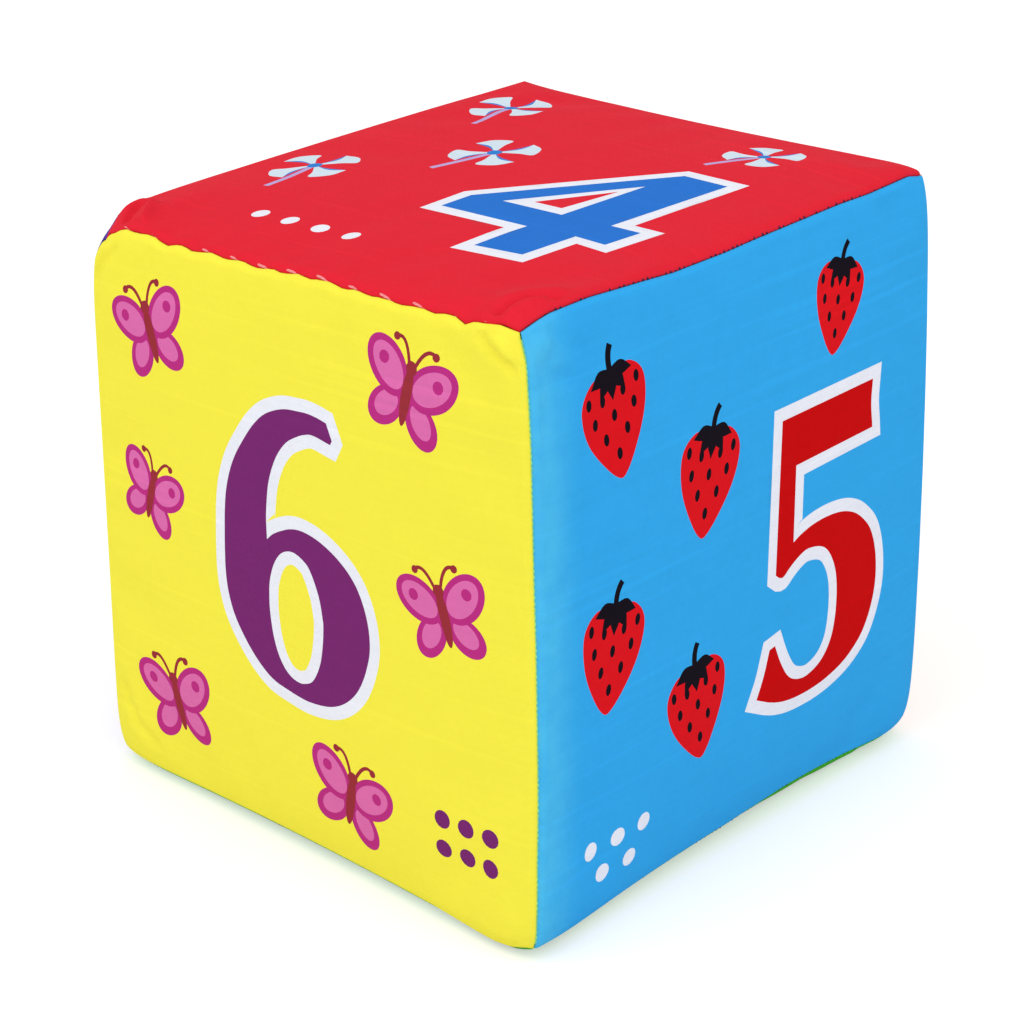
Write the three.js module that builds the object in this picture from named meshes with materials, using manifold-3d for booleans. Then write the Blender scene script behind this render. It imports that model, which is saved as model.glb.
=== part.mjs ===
// A soft die for a baby: a foam block in a cover of six printed cloth panels, sewn along its twelve edges.
// Millimetres, +Z up. The origin is the middle of the face that the die rests on.
// Face 6 looks along -Y, face 5 along +X and face 4 up, and opposite faces add up to seven.
import * as THREE from "three";
import { mergeVertices } from "three/addons/utils/BufferGeometryUtils.js";
import Module from "manifold-3d";

const wasm = await Module();
wasm.setup();

// Outer form: a cube whose faces swell over the foam and whose corners the stitching draws in
const DIE_SIDE = 100; // over the crowns of two opposite faces
const FACE_CROWN_HEIGHT = 1.8; // from the seams up to the middle of a face
const EDGE_BOW_DEPTH = 0.5; // from the middle of an edge down to its ends
const CORNER_DRAW_DEPTH = 2.2; // further draw of the last stretch into a corner
const REST_FLAT_DEPTH = 0.5; // depth of the lower crown that the die's weight presses flat

// Cover: printed polyester cloth, its edges turned in and sewn to each other
const CLOTH_THICKNESS = 0.8;
const FOLD_INSIDE_RADIUS = 0.2; // radius inside the fold where the cloth turns into a seam
const SEAM_GAP = 0.4; // between the two turned edges of a seam
const SEAM_ALLOWANCE = 6; // depth of the cloth turned in

// Filling: one block of soft foam, pressed round the turned edges
const FOAM_CLEARANCE = 0.35; // between the foam and the cloth

// Sewing thread
const THREAD_RADIUS = 0.2;
const THREAD_CLEARANCE = 0.15; // between a machine stitch and the folds it lies between
const THREAD_SWING_WIDTH = 0.25; // sideways swing of a machine stitch in its valley
const THREAD_END_DISTANCE = 4; // from the end of the thread to the end of its edge
const MACHINE_STITCH_LENGTH = 6; // a stitch there and back
const WHIP_STITCH_LENGTH = 6.6; // one turn of the hand stitch that closes the cover
const WHIP_HALF_WIDTH = 2.1; // how far a turn goes to each side of its seam
const WHIP_BITE_DEPTH = 1.7; // how deep a turn passes through the turned edges
const STITCH_HOLE_CLEARANCE = 0.3; // round the thread where it goes through the cloth

// Powers of the form: how full a face swells, how late an edge turns into its corner, how near it is felt
const CROWN_POWER = 3;
const DRAW_POWER = 8;
const EDGE_POWER = 5;

// Fineness
const CELLS = 10; // across a face
const FOLD_STEPS = 3;
const MACHINE_STEPS = 2; // for each stitch there and back
const MACHINE_SIDES = 4;
const WHIP_STEPS = 8; // for each turn
const WHIP_SIDES = 5;
const HOLE_SIDES = 4;

// What follows from those sizes
const SEAM_HALF = DIE_SIDE / 2 - FACE_CROWN_HEIGHT; // from the die's middle to the plane of a face's seams
const FOLD = FOLD_INSIDE_RADIUS + CLOTH_THICKNESS; // outside radius of the fold
const FOLD_ASIDE = FOLD + SEAM_GAP / 2; // from a seam's mid plane to the middle of its fold
const FOLD_INSET = FOLD + Math.SQRT2 * FOLD_ASIDE; // from the sharp edge in to the middle of the fold
const SEAM_INSET = (FOLD_INSET + FOLD) / 2; // the same for the point midway between the two folds
const SEAM_REACH = SEAM_HALF - SEAM_INSET; // from the middle of an edge to its end at that point
const CENTRE_HEIGHT = DIE_SIDE / 2 - REST_FLAT_DEPTH;
const FOAM_INSET = CLOTH_THICKNESS + FOAM_CLEARANCE;

// How far an edge is drawn in at a share of the way from its middle to its corner.
const drawnIn = (share) => EDGE_BOW_DEPTH * share ** 2 + CORNER_DRAW_DEPTH * share ** DRAW_POWER;

// Where the foam and the stitching take a point of a plain cube with flat faces and straight edges.
// Every piece is drawn on the plain cube and taken to its place by this. The point is seen from the middle.
function sewnPlace(x, y, z) {
  const plain = [x, y, z];
  const shares = plain.map((value) => Math.min(Math.abs(value) / SEAM_HALF, 1));
  const near = shares.map((share) => share ** EDGE_POWER);
  const swell = shares.map((share) => 1 - share ** CROWN_POWER);
  const [placeX, placeY, placeZ] = plain.map((value, axis) => {
    const [b, c] = [0, 1, 2].filter((other) => other !== axis);
    const out = FACE_CROWN_HEIGHT * shares[axis] * swell[b] * swell[c];
    const alongEdges = near[b] * drawnIn(shares[c]) + near[c] * drawnIn(shares[b]);
    const drawn = alongEdges - near[b] * near[c] * drawnIn(1);
    return value + Math.sign(value) * (out - near[axis] * drawn);
  });
  return new THREE.Vector3(placeX, placeY, placeZ);
}

// A point of the face that looks along +Z. u and v run from -1 to 1 across it.
// inset takes the point in from the sharp edge all round, and drop takes it down.
function facePoint(u, v, inset, drop) {
  return sewnPlace(u * (SEAM_HALF - inset), v * (SEAM_HALF - inset), SEAM_HALF - drop);
}

// The same point, pressed flat where the face carries the die.
function restingPoint(u, v, inset, drop) {
  const point = facePoint(u, v, inset, drop);
  point.z = Math.min(point.z, CENTRE_HEIGHT - drop);
  return point;
}

// A point of the seam between the faces that look along +Z and +X, at v along it.
// aside is its distance from the seam's mid plane, towards +Z. out runs outwards from the middle of the folds.
function seamPoint(v, aside, out) {
  const middle = SEAM_REACH + out / Math.SQRT2;
  return sewnPlace(middle - aside / Math.SQRT2, v * middle, middle + aside / Math.SQRT2);
}

// Stations across a face, closer together towards its edges, where the form turns most.
const stationShares = (cells) =>
  Array.from({ length: cells + 1 }, (_, i) => Math.sin((Math.PI / 2) * ((2 * i) / cells - 1)));

// A mesh from points and from faces that list them, wound so that they look out.
function geometryOf(points, faces) {
  const fan = (face) => face.slice(2).flatMap((_, k) => [face[0], face[k + 1], face[k + 2]]);
  const index = faces.flatMap(fan);
  return new THREE.BufferGeometry().setFromPoints(points).setIndex(index);
}

// The cells of a square grid of points that starts at first, looking up, or down if under is true.
function gridFaces(first, cells, under) {
  const faces = [];
  for (let j = 0; j < cells; j++) {
    for (let i = 0; i < cells; i++) {
      const at = first + j * (cells + 1) + i;
      const cell = [at, at + 1, at + cells + 2, at + cells + 1];
      faces.push(under ? cell.reverse() : cell);
    }
  }
  return faces;
}

// The rim of such a grid, once round against the clock, as pairs of column and row.
function rim(cells) {
  const along = Array.from({ length: cells }, (_, i) => i);
  return [
    ...along.map((i) => [i, 0]),
    ...along.map((j) => [cells, j]),
    ...along.map((i) => [cells - i, cells]),
    ...along.map((j) => [0, cells - j]),
  ];
}

// The band of faces from one ring of points to the next.
const bandFaces = (ring, next) =>
  ring.map((point, k) => {
    const after = (k + 1) % ring.length;
    return [point, next[k], next[after], ring[after]];
  });

// The cloth's path at its edge: over the fold, down the turned-in edge, round its cut and back up inside.
// Each station is how far it is in from the sharp edge and down from the face.
function turnedEdge() {
  const path = [];
  const overFold = (radius, share) => {
    const angle = (3 / 4) * Math.PI * share;
    path.push([FOLD_INSET - radius * Math.sin(angle), FOLD - radius * Math.cos(angle)]);
  };
  for (let k = 1; k <= FOLD_STEPS; k++) overFold(FOLD, k / FOLD_STEPS);
  const [inset, drop] = path.at(-1);
  const down = SEAM_ALLOWANCE / Math.SQRT2;
  const through = CLOTH_THICKNESS / Math.SQRT2;
  path.push([inset + down, drop + down]);
  path.push([inset + down + through, drop + down - through]);
  overFold(FOLD_INSIDE_RADIUS, 1);
  return path;
}

// Adds a face to points and faces: a grid, and bands from its rim along a path like the one above.
// It gives the last ring, once round against the clock.
function addFace(points, faces, pointAt, inset, drop, path, under = false) {
  const across = stationShares(CELLS);
  const edge = rim(CELLS);
  const first = points.length;
  for (const v of across) {
    for (const u of across) points.push(pointAt(u, v, inset, drop));
  }
  faces.push(...gridFaces(first, CELLS, under));
  let ring = edge.map(([i, j]) => first + j * (CELLS + 1) + i);
  for (const [stationInset, stationDrop] of path) {
    const placeAt = ([i, j]) => pointAt(across[i], across[j], stationInset, stationDrop);
    const next = edge.map((place) => points.push(placeAt(place)) - 1);
    faces.push(...bandFaces(ring, next));
    ring = next;
  }
  return ring;
}

// One panel of the cover: the face and its turned-in edges, of one thickness of cloth.
function panelGeometry(pointAt) {
  const points = [];
  const faces = [];
  const outer = addFace(points, faces, pointAt, FOLD_INSET, 0, turnedEdge());
  const inner = addFace(points, faces, pointAt, FOLD_INSET, CLOTH_THICKNESS, [], true);
  return geometryOf(points, [...faces, ...bandFaces(outer, inner)]);
}

// The middle line of a thread along that seam. Its path gives aside and out for each angle of its stitch.
function threadPoints(pitch, steps, path) {
  const last = 1 - THREAD_END_DISTANCE / SEAM_REACH;
  const turns = Math.floor((2 * last * SEAM_REACH) / pitch);
  return Array.from({ length: turns * steps + 1 }, (_, k) => {
    const [aside, out] = path((2 * Math.PI * k) / steps);
    return seamPoint(last * ((2 * k) / (turns * steps) - 1), aside, out);
  });
}

// An unbroken round thread along a middle line, a ring of points round each point of the line.
function threadGeometry(line, sides, radius) {
  const points = [];
  const rings = line.map((middle, k) => {
    const forward = line[Math.min(k + 1, line.length - 1)].clone().sub(line[Math.max(k - 1, 0)]).normalize();
    const side = new THREE.Vector3(1, 0, -1).cross(forward).normalize();
    const up = new THREE.Vector3().crossVectors(forward, side);
    return Array.from({ length: sides }, (_, i) => {
      const angle = (2 * Math.PI * i) / sides;
      const offset = side.clone().multiplyScalar(Math.cos(angle)).addScaledVector(up, Math.sin(angle));
      return points.push(middle.clone().addScaledVector(offset, radius)) - 1;
    });
  });
  const bands = rings.slice(1).flatMap((ring, k) => bandFaces(ring, rings[k]));
  return geometryOf(points, [rings[0].toReversed(), ...bands, rings.at(-1)]);
}

// A machine stitch lies in the valley between the folds and swings from one to the other.
const machineOut = Math.sqrt(
  Math.max((FOLD + THREAD_RADIUS + THREAD_CLEARANCE) ** 2 - (FOLD_ASIDE - THREAD_SWING_WIDTH) ** 2, 0),
);
const machineLine = threadPoints(MACHINE_STITCH_LENGTH, MACHINE_STEPS, (angle) => [
  THREAD_SWING_WIDTH * Math.cos(angle),
  machineOut,
]);

// A whip stitch goes over both folds and back through both turned edges. It starts and ends inside.
const whipOut = FOLD + THREAD_RADIUS;
const whipLine = threadPoints(WHIP_STITCH_LENGTH, WHIP_STEPS, (angle) => [
  WHIP_HALF_WIDTH * Math.sin(angle),
  (whipOut - WHIP_BITE_DEPTH) / 2 - ((whipOut + WHIP_BITE_DEPTH) / 2) * Math.cos(angle),
]);

// The least gap of a thread to itself, from one turn to the next ones.
function leastGap(line, steps) {
  const gaps = line.flatMap((point, k) => {
    const later = line.slice(k + steps / 2 + 1);
    return later.map((other) => point.distanceTo(other));
  });
  return Math.min(...gaps) - 2 * THREAD_RADIUS;
}
console.log(`closing stitch: least gap to itself ${leastGap(whipLine, WHIP_STEPS).toFixed(2)} mm`);

// The way a face looks, and the right and the top of its print.
const X = new THREE.Vector3(1, 0, 0);
const Y = new THREE.Vector3(0, 1, 0);
const Z = new THREE.Vector3(0, 0, 1);
const back = (direction) => direction.clone().negate();
const FACES = [
  { number: 1, word: "one", looks: Y, right: back(X), top: Z, colour: 0xf28c28 },
  { number: 2, word: "two", looks: back(X), right: back(Y), top: Z, colour: 0x6a4bb0 },
  { number: 3, word: "three", looks: back(Z), right: X, top: back(Y), colour: 0x4cae3a },
  { number: 4, word: "four", looks: Z, right: X, top: Y, colour: 0xe22c3a },
  { number: 5, word: "five", looks: X, right: Y, top: Z, colour: 0x2ea2e6 },
  { number: 6, word: "six", looks: back(Y), right: X, top: Z, colour: 0xf2e93c },
];
const RESTING_FACE = 3;
const CLOSED_BY_HAND = [4, 6];

// Each edge of the die, as the two faces that meet there.
const EDGES = FACES.flatMap((a, i) => FACES.slice(i + 1).map((b) => [a, b])).filter(
  ([a, b]) => a.looks.dot(b.looks) === 0,
);
const handEdge = EDGES.find(([a, b]) => a.number === CLOSED_BY_HAND[0] && b.number === CLOSED_BY_HAND[1]);

// The frames in which a panel and a seam are drawn, turned to their places on the die.
const panelFrame = (face) => new THREE.Matrix4().makeBasis(face.right, face.top, face.looks);
const seamFrame = ([a, b]) =>
  new THREE.Matrix4().makeBasis(b.looks, new THREE.Vector3().crossVectors(a.looks, b.looks), a.looks);

// A closed mesh as a solid that can be cut, and back again.
function solidOf(geometry) {
  const merged = mergeVertices(geometry);
  return new wasm.Manifold(
    new wasm.Mesh({
      numProp: 3,
      vertProperties: new Float32Array(merged.attributes.position.array),
      triVerts: new Uint32Array(merged.index.array),
    }),
  );
}
function geometryFrom(solid) {
  const mesh = solid.getMesh();
  return new THREE.BufferGeometry()
    .setAttribute("position", new THREE.BufferAttribute(mesh.vertProperties, mesh.numProp))
    .setIndex(new THREE.BufferAttribute(mesh.triVerts, 1));
}

// The hand stitch's way through the cloth, in the frame of the panel that it goes through.
function stitchHoles(frame) {
  const toPanel = frame.clone().invert().multiply(seamFrame(handEdge));
  const holes = threadGeometry(whipLine, HOLE_SIDES, THREAD_RADIUS + STITCH_HOLE_CLEARANCE);
  return solidOf(holes.applyMatrix4(toPanel));
}

// The foam block: the form of the cover, smaller by the cloth, with a slot along each edge for the turned
// edges and their thread. Each face is drawn with its slots' walls, which meet the next face's halfway.
function foamGeometry() {
  const mouth = WHIP_HALF_WIDTH + THREAD_RADIUS + FOAM_CLEARANCE;
  const wall = SEAM_GAP / 2 + CLOTH_THICKNESS + FOAM_CLEARANCE;
  const depth = SEAM_ALLOWANCE + FOAM_CLEARANCE;
  const bottom = SEAM_INSET + (depth + wall) / Math.SQRT2;
  const slot = [
    [bottom, bottom - Math.SQRT2 * wall],
    [bottom, bottom],
  ];
  const points = [];
  const faces = [];
  for (const face of FACES) {
    const pointAt = face.number === RESTING_FACE ? restingPoint : facePoint;
    const frame = panelFrame(face);
    const placeAt = (...place) => pointAt(...place).applyMatrix4(frame);
    addFace(points, faces, placeAt, FOAM_INSET + Math.SQRT2 * mouth, FOAM_INSET, slot);
  }
  return geometryFrom(solidOf(geometryOf(points, faces)));
}

// The materials
const cloth = (colour) => new THREE.MeshStandardMaterial({ color: colour, roughness: 0.85, metalness: 0 });
const foamMaterial = new THREE.MeshStandardMaterial({ color: 0xf3efdf, roughness: 0.95, metalness: 0 });
const machineThread = new THREE.MeshStandardMaterial({ color: 0x2c2452, roughness: 0.6, metalness: 0 });
const handThread = new THREE.MeshStandardMaterial({ color: 0xd8242f, roughness: 0.6, metalness: 0 });

// The die, put together round its middle
const die = new THREE.Group();
die.name = "soft_die";
const sewn = new THREE.Group();
sewn.position.z = CENTRE_HEIGHT;
die.add(sewn);

function add(name, geometry, material, frame) {
  const mesh = new THREE.Mesh(geometry, material);
  mesh.name = name;
  mesh.quaternion.setFromRotationMatrix(frame);
  sewn.add(mesh);
}

add("foam_core", foamGeometry(), foamMaterial, new THREE.Matrix4());

for (const face of FACES) {
  const whole = panelGeometry(face.number === RESTING_FACE ? restingPoint : facePoint);
  const frame = panelFrame(face);
  const sewnByHand = CLOSED_BY_HAND.includes(face.number);
  const geometry = sewnByHand ? geometryFrom(solidOf(whole).subtract(stitchHoles(frame))) : whole;
  add(`panel_${face.word}`, geometry, cloth(face.colour), frame);
}

for (const edge of EDGES) {
  const faces = `${edge[0].word}_${edge[1].word}`;
  if (edge === handEdge) {
    const geometry = threadGeometry(whipLine, WHIP_SIDES, THREAD_RADIUS);
    add(`closing_stitch_${faces}`, geometry, handThread, seamFrame(edge));
  } else {
    const geometry = threadGeometry(machineLine, MACHINE_SIDES, THREAD_RADIUS);
    add(`seam_thread_${faces}`, geometry, machineThread, seamFrame(edge));
  }
}

export default die;
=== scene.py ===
"""Dresses a soft die for a baby: a foam block in a cover of six printed cloth panels.

Written for Blender 4.5 and laid out as an add-on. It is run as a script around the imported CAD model.
Lengths are in millimetres, seen from the middle of the die, until a mesh or a socket takes them in metres.
"""

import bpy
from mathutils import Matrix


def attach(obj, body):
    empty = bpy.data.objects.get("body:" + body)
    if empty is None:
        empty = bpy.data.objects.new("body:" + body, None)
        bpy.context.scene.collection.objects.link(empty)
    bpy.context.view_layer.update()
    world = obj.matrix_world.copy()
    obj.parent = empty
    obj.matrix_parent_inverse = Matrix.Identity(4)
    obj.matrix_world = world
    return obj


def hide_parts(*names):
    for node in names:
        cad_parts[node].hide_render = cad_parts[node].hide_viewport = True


bl_info = {
    "name": "Soft die",
    "version": (1, 0, 0),
    "blender": (4, 5, 0),
    "location": "3D View > Sidebar > Soft die",
    "description": "Makes a foam-filled cloth die with printed faces and sewn edges",
    "category": "Object",
}

import math
from functools import partial

import bmesh
import bpy
import numpy as np
from bpy.props import FloatProperty, FloatVectorProperty, PointerProperty
from mathutils import Matrix, Vector
from mathutils.geometry import delaunay_2d_cdt

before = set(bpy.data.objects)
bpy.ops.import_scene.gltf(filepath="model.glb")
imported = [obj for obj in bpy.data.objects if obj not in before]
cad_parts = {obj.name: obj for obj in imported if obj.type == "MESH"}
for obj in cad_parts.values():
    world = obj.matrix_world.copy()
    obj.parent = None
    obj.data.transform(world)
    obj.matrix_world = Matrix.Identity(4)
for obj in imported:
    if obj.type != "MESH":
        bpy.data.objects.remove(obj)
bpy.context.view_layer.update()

MM = 0.001

# The sewn form, as the CAD model has it
SEAM_HALF = 48.2  # from the middle of the die to the plane of a face's seams
CENTRE_HEIGHT = 49.5
FACE_CROWN = 1.8
CROWN_POWER = 3
DRAW_POWER = 12
EDGE_POWER = 5

# What the eye finds beyond that: the last millimetres of a face turn down into the seam
ROUND_SHARE = 0.5
ROUND_POWER = 26

# The die is a little uneven. Each corner, by whether it lies towards +X, +Y and +Z, is shifted along X, Y
# and Z, which is felt over the whole die, and drawn in along them, which is felt in its last centimetre
CORNERS = {
    (True, False, True): ((0.3, 0.9, 1.2), (0.7, 0.0, 0.6)),
    (False, False, True): ((1.5, 1.0, -2.3), (3.8, 0.9, 2.3)),
    (True, True, True): ((-2.2, -1.0, 1.8), (0.5, 1.2, 0.3)),
    (False, True, True): ((2.0, 2.4, 1.2), (0.8, 0.0, -0.8)),
    (True, False, False): ((0.6, -0.7, -0.5), (2.2, 1.2, 1.4)),
    (False, False, False): ((-0.6, -1.2, -0.5), (1.1, 1.3, 1.1)),
    (True, True, False): ((-1.4, -1.2, 0.0), (1.7, 0.2, 1.8)),
    (False, True, False): ((0.0, 0.0, 0.0), (1.5, 1.5, 1.5)),
}

# How far the middle of an edge stands out along each of its two faces
EDGE_BOWS = {
    ("four", "six"): (-1.1, 0.35),
    ("four", "five"): (-0.2, 0.0),
    ("five", "six"): (1.4, -1.3),
    ("two", "six"): (-0.15, -0.15),
    ("one", "five"): (0.5, 0.65),
    ("one", "four"): (-0.3, -0.8),
    ("two", "four"): (0.2, 0.2),
    ("three", "six"): (-0.9, -0.8),
    ("three", "five"): (-1.5, -1.65),
    ("one", "two"): (-0.4, -0.4),
    ("one", "three"): (-0.6, -0.6),
    ("two", "three"): (-0.6, -0.6),
}

# How far the seams in front stray from their smooth line, by the place along them. It is measured
# towards the back of the first face. The hand stitches of the first one gather the cloth between them
# into small waves
SEAM_WAVES = {
    ("four", "six"): (
        (-47, 1.1), (-45, 0.7), (-43, 0.5), (-41, -0.1), (-39, -0.45), (-37.5, -0.25), (-35, -0.3),
        (-33, -0.5), (-31, -0.35), (-30, 0.1), (-28, 0.45), (-26, -0.1), (-24, -0.27), (-22, 0.23),
        (-20, 0), (-17, -0.43), (-14, 0.04), (-10, -0.42), (-7.5, 0.1), (-6, 0.08), (-3, -0.38),
        (-1, -0.04), (3, -0.6), (5, -0.15), (7, -0.45), (10, -0.52), (11.5, 0), (13, 0.07), (15, -0.26),
        (18, 0.26), (19.5, 0.11), (22, 0.18), (24, 0.54), (27, 0.32), (29, 0.36), (31, 0.72), (33, 0.39),
        (35, 0.43), (37, 1.35), (39, 0.6), (41, 0.56), (44, 0.18), (46, 0.38),
    ),
    ("four", "five"): (
        (-47, 0.1), (-42, -0.5), (-34, -0.55), (-28, -0.2), (-22, 0.1), (-16, 0.5), (-4, 0.45), (4, 0.15),
        (14, -0.05), (24, -0.25), (32, -0.1), (38, -0.3), (43, -0.5), (46, 0),
    ),
    ("five", "six"): (
        (-45, -1.4), (-42, -1.1), (-38, -0.85), (-32, -0.5), (-24, -0.35), (-16, -0.1), (-8, 0.15),
        (0, 0.25), (10, 0.38), (16, 0.33), (24, 0.14), (30, -0.1), (38, -0.25), (43, -0.4), (46, 0),
    ),
    ("three", "five"): ((0, 0), (8, 0.3), (14, 0.6), (22, 0.7), (30, 0.6), (36, 0.3), (41, 0)),
    ("three", "six"): ((28, 0), (35, -0.3), (41, -0.6), (44.5, -0.5), (46.8, 0)),
    ("four", "two"): ((-46.5, 0.3), (-44.6, 0.3), (-43.2, -0.2), (-41.8, -0.5), (-39.8, -0.4), (-37, 0)),
}
WAVE_POWER = 20

# Creases of the cloth near its corners: points of the line, how far it stands out, and its half width
CREASES = {
    "six": (
        (((41.4, 47), (41.3, 45.6), (42.1, 44.2), (44.6, 43.1), (46.6, 41.6)), -0.7, 0.8),
        (((44.4, 46.2), (46.2, 44.2)), 0.8, 1.4),
        (((-40.8, 44.6), (-43.6, 42.2), (-46.2, 38.6)), -0.55, 1.0),
        (((-44.4, 45.4), (-46, 42.8)), 0.5, 1.4),
        (((-43.4, -34), (-42.7, -36.4), (-40.5, -39.4), (-36.4, -42)), -0.6, 1.2),
        (((46.8, -31), (45, -36), (45.4, -41)), -0.3, 1.2),
    ),
    "five": (
        (((-45.8, 45.8), (-44.6, 45)), 0.6, 1.4),
        (((-44.2, 46.8), (-42.8, 45), (-43.2, 43), (-44.6, 41.8)), -0.35, 0.9),
        (((-46.6, 42.2), (-43.2, 39.6), (-40, 38.4)), -0.45, 1.2),
        (((-42.6, 46.6), (-40.4, 43), (-36.6, 41.6)), -0.35, 1.2),
        (((-46.8, -24.7), (-44, -30), (-40.9, -33.4)), -0.35, 1.3),
    ),
    "four": (
        (((42.2, -46.8), (42.6, -44.2), (43.2, -42.6), (44.2, -40.8), (46.4, -38.4)), -1.4, 0.75),
        (((40.6, -43), (42, -39.9), (44.4, -37)), 0.55, 1.3),
        (((44.8, -46.2), (45, -43.8), (46.2, -41.4)), 0.8, 1.3),
        (((-41.3, -40.7), (-38.3, -44), (-36.2, -46.8)), 1.1, 0.9),
        (((-44.2, -41.4), (-43, -44), (-41.6, -46.4)), -1.1, 1.0),
        (((-46.2, -42.6), (-45.2, -39.6)), 0.4, 1.6),
    ),
    "three": (
        (((45, -8), (45.2, -22), (45, -36)), 1.0, 1.3),
        (((46.4, 36), (46.3, 46.3), (34, 46.4)), -0.9, 1.7),
    ),
}

# Cloth and seams
CLOTH = 0.35
FOLD_INSIDE = 0.2
FOLD = FOLD_INSIDE + CLOTH
SEAM_GAP = 0.06
FOLD_ASIDE = FOLD + SEAM_GAP / 2
FOLD_INSET = FOLD + math.sqrt(2) * FOLD_ASIDE
SEAM_INSET = (FOLD_INSET + FOLD) / 2
SEAM_REACH = SEAM_HALF - SEAM_INSET
SEAM_ALLOWANCE = 6
FLAT_HALF = SEAM_HALF - FOLD_INSET
FLAT_CUT = 108  # side of the square that a panel is cut to
UV_SIDE = 1.05 * FLAT_CUT  # side of the square that the cloth's coordinates run over
# Painted highlight beside a panel's left edge: its width in millimetres, and where it starts and ends in the
# cloth's coordinates
HIGHLIGHT_WIDTH = 9
HIGHLIGHT_START = 0.5 - FLAT_HALF / UV_SIDE
HIGHLIGHT_END = HIGHLIGHT_START + HIGHLIGHT_WIDTH / UV_SIDE
CELLS = 92  # across a panel
EVEN_SHARE, CLOSE_SHARE = 0.45, 0.55  # even cells, and cells closer together towards the edges
FOLD_STEPS = 6
FOLD_TURN = 0.75 * math.pi
UNDER_STEP = 0.05  # beside a point, to find which way the cloth faces there

# At the corner in front, the edge of the resting face is drawn in under its neighbours
TUCK = 0.4
TUCK_REACH = 10

# The foam block, cut with grooves that take the panels' turned-in edges
FOAM_CLEARANCE = 0.35
FOAM_MOUTH = 2.3 + FOAM_CLEARANCE
FOAM_CELLS = 80
WELD_REACH = 0.0005

# The simulation of the cover's cloth, run at ten times the size
SIM_CELLS = 48  # across a face
SIM_SCALE = 10
SIM_FRAMES = 18
SIM_QUALITY = 6
SIM_MASS = 0.15
SIM_DAMPING = 4
SIM_STIFFNESS = 20
SIM_SHEAR = 8
SIM_BENDING = 8
SIM_PRESSURE = 0.8
SIM_EASE_SHARE = 0.012  # by which the cloth is wider than the form it covers
SLOW_ROUNDS = 30  # of smoothing that find the swell of a whole face
PUCKER_LIMIT = 0.9
PRESSED_SHARE = 0.35  # of the waves is left where the foam presses the cloth smooth, away from the corners
CORNER_REACH = 14
RIM_SHARE = 0.1  # of the relief is left at a panel's edge
SEAM_NEAR = 0.01
SIMULATED = {}

# Each face: the way it looks, and the right and the top of its print
FACES = {
    "one": ((0, 1, 0), (-1, 0, 0), (0, 0, 1)),
    "two": ((-1, 0, 0), (0, -1, 0), (0, 0, 1)),
    "three": ((0, 0, -1), (1, 0, 0), (0, -1, 0)),
    "four": ((0, 0, 1), (1, 0, 0), (0, 1, 0)),
    "five": ((1, 0, 0), (0, 1, 0), (0, 0, 1)),
    "six": ((0, -1, 0), (1, 0, 0), (0, 0, 1)),
}
RESTING_FACE = "three"
# Painted highlight: a paler ink painted beside the face's left neighbour, where the rounded edge turns to
# the light, and how strongly it is painted
EDGE_HIGHLIGHT_INKS = {"blue": "#6FDCF0"}
EDGE_HIGHLIGHT_SHARE = 0.34
UNEVEN_SHARES = {"yellow": 0.5}  # of the cloth's unevenness that shows through a thick ink
CLOSED_BY_HAND = ("four", "six")
TIGHT_SEAMS = (("five", "six"),)  # whose thread is pulled down between the folds
NAMES = list(FACES)
EDGES = [
    (a, b)
    for i, a in enumerate(NAMES)
    for b in NAMES[i + 1 :]
    if not np.dot(FACES[a][0], FACES[b][0])
]

# Outlines of the print, and how the panels are cut along them
PRINT_STEP = 0.5
OVAL_STEP = 0.6
OVAL_LEAST = 10
BAR_STEPS = 8
PIP_RADIUS = 1.5
SAME_PLACE = 1e-6
POINTED_SHARE = 0.3  # below which a sharp corner of a widened outline runs out no further
SPARE_SHARE = 0.35  # of a cell is kept free of the grid's points beside an outline
LINES_AT_ONCE = 200
CUT_NEARNESS = 1e-4
NO_AREA = 1e-9

# Patterns of the cloth: their width along the panel and across it, turn in degrees, shift, detail, roughness
CLOTH_NOISES = {
    "mottle": (5.154545, 5.154545, 0, (0, 0), 4, 0.6),  # uneven take-up of the ink
    "slub": (37.8, 0.8723077, 1.5, (0, 0), 3, 0.6),  # thicker threads of the weft, across the panel
    "grain": (1.1936842, 1.1936842, 0, (0, 0), 2, 0.5),
    "thick": (70.875, 1.4175, 0, (0.4, 0.2), 1, 0.4),  # a few threads that are thicker still
}
CLOTH_TONE = 0.88
TONE_SHARES = {"mottle": 0.08, "slub": 0.1, "weave": 0.012, "grain": 0.06, "thick": 1}
THICK_THREAD_SHARES = (0.61, 0.72)
THICK_THREAD_TONE = 0.055
SLUB_HEIGHT_SHARE = 0.8
PORE = 1.2

# Threads. Each kind of stitch has its dye and colour, how far it lies beside the seam, how far it stops
# before the corner, how far the thread reaches aside, rises and sinks, and how uneven and how fine it is
PLIES = 2
PLY_TWIST = 0.8
SEAM_STEPS = 90
CLOSING_SEED = 1
STITCHES = {
    "machine": (
        "purple", "overcast", 0.2, 4,
        {"Reach": 0.36, "Top": 0.2, "Bottom": -0.9},
        {"Uneven": 0.3, "Steps": 12, "Sides": 6},
    ),
    "tight machine": (
        "green", "sunk", 0, 1.2,
        {"Reach": 0.05, "Top": 0, "Bottom": -0.1},
        {"Uneven": 0.1, "Steps": 12, "Sides": 6},
    ),
    # The hand thread is red; its pale pink is painted highlight, standing in for the light caught on its
    # loops
    "hand": (
        "pale red", "closing", 0.25, 4,
        {"Reach": 0.16, "Top": 0.42, "Bottom": -1.0},
        {"Uneven": 0.3, "Steps": 24, "Sides": 10},
    ),
}

# The camera, fitted to the photograph: its azimuth, elevation and roll in degrees
CAMERA_LENS = 88.93
CAMERA_SENSOR = 36
CAMERA_CLIP = 10
CAMERA_DEGREES = (44.901, 22.969, -1.433)
CAMERA_DISTANCE = 416.78
CAMERA_TARGET = (-0.88, -0.45, 43.16)

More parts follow.
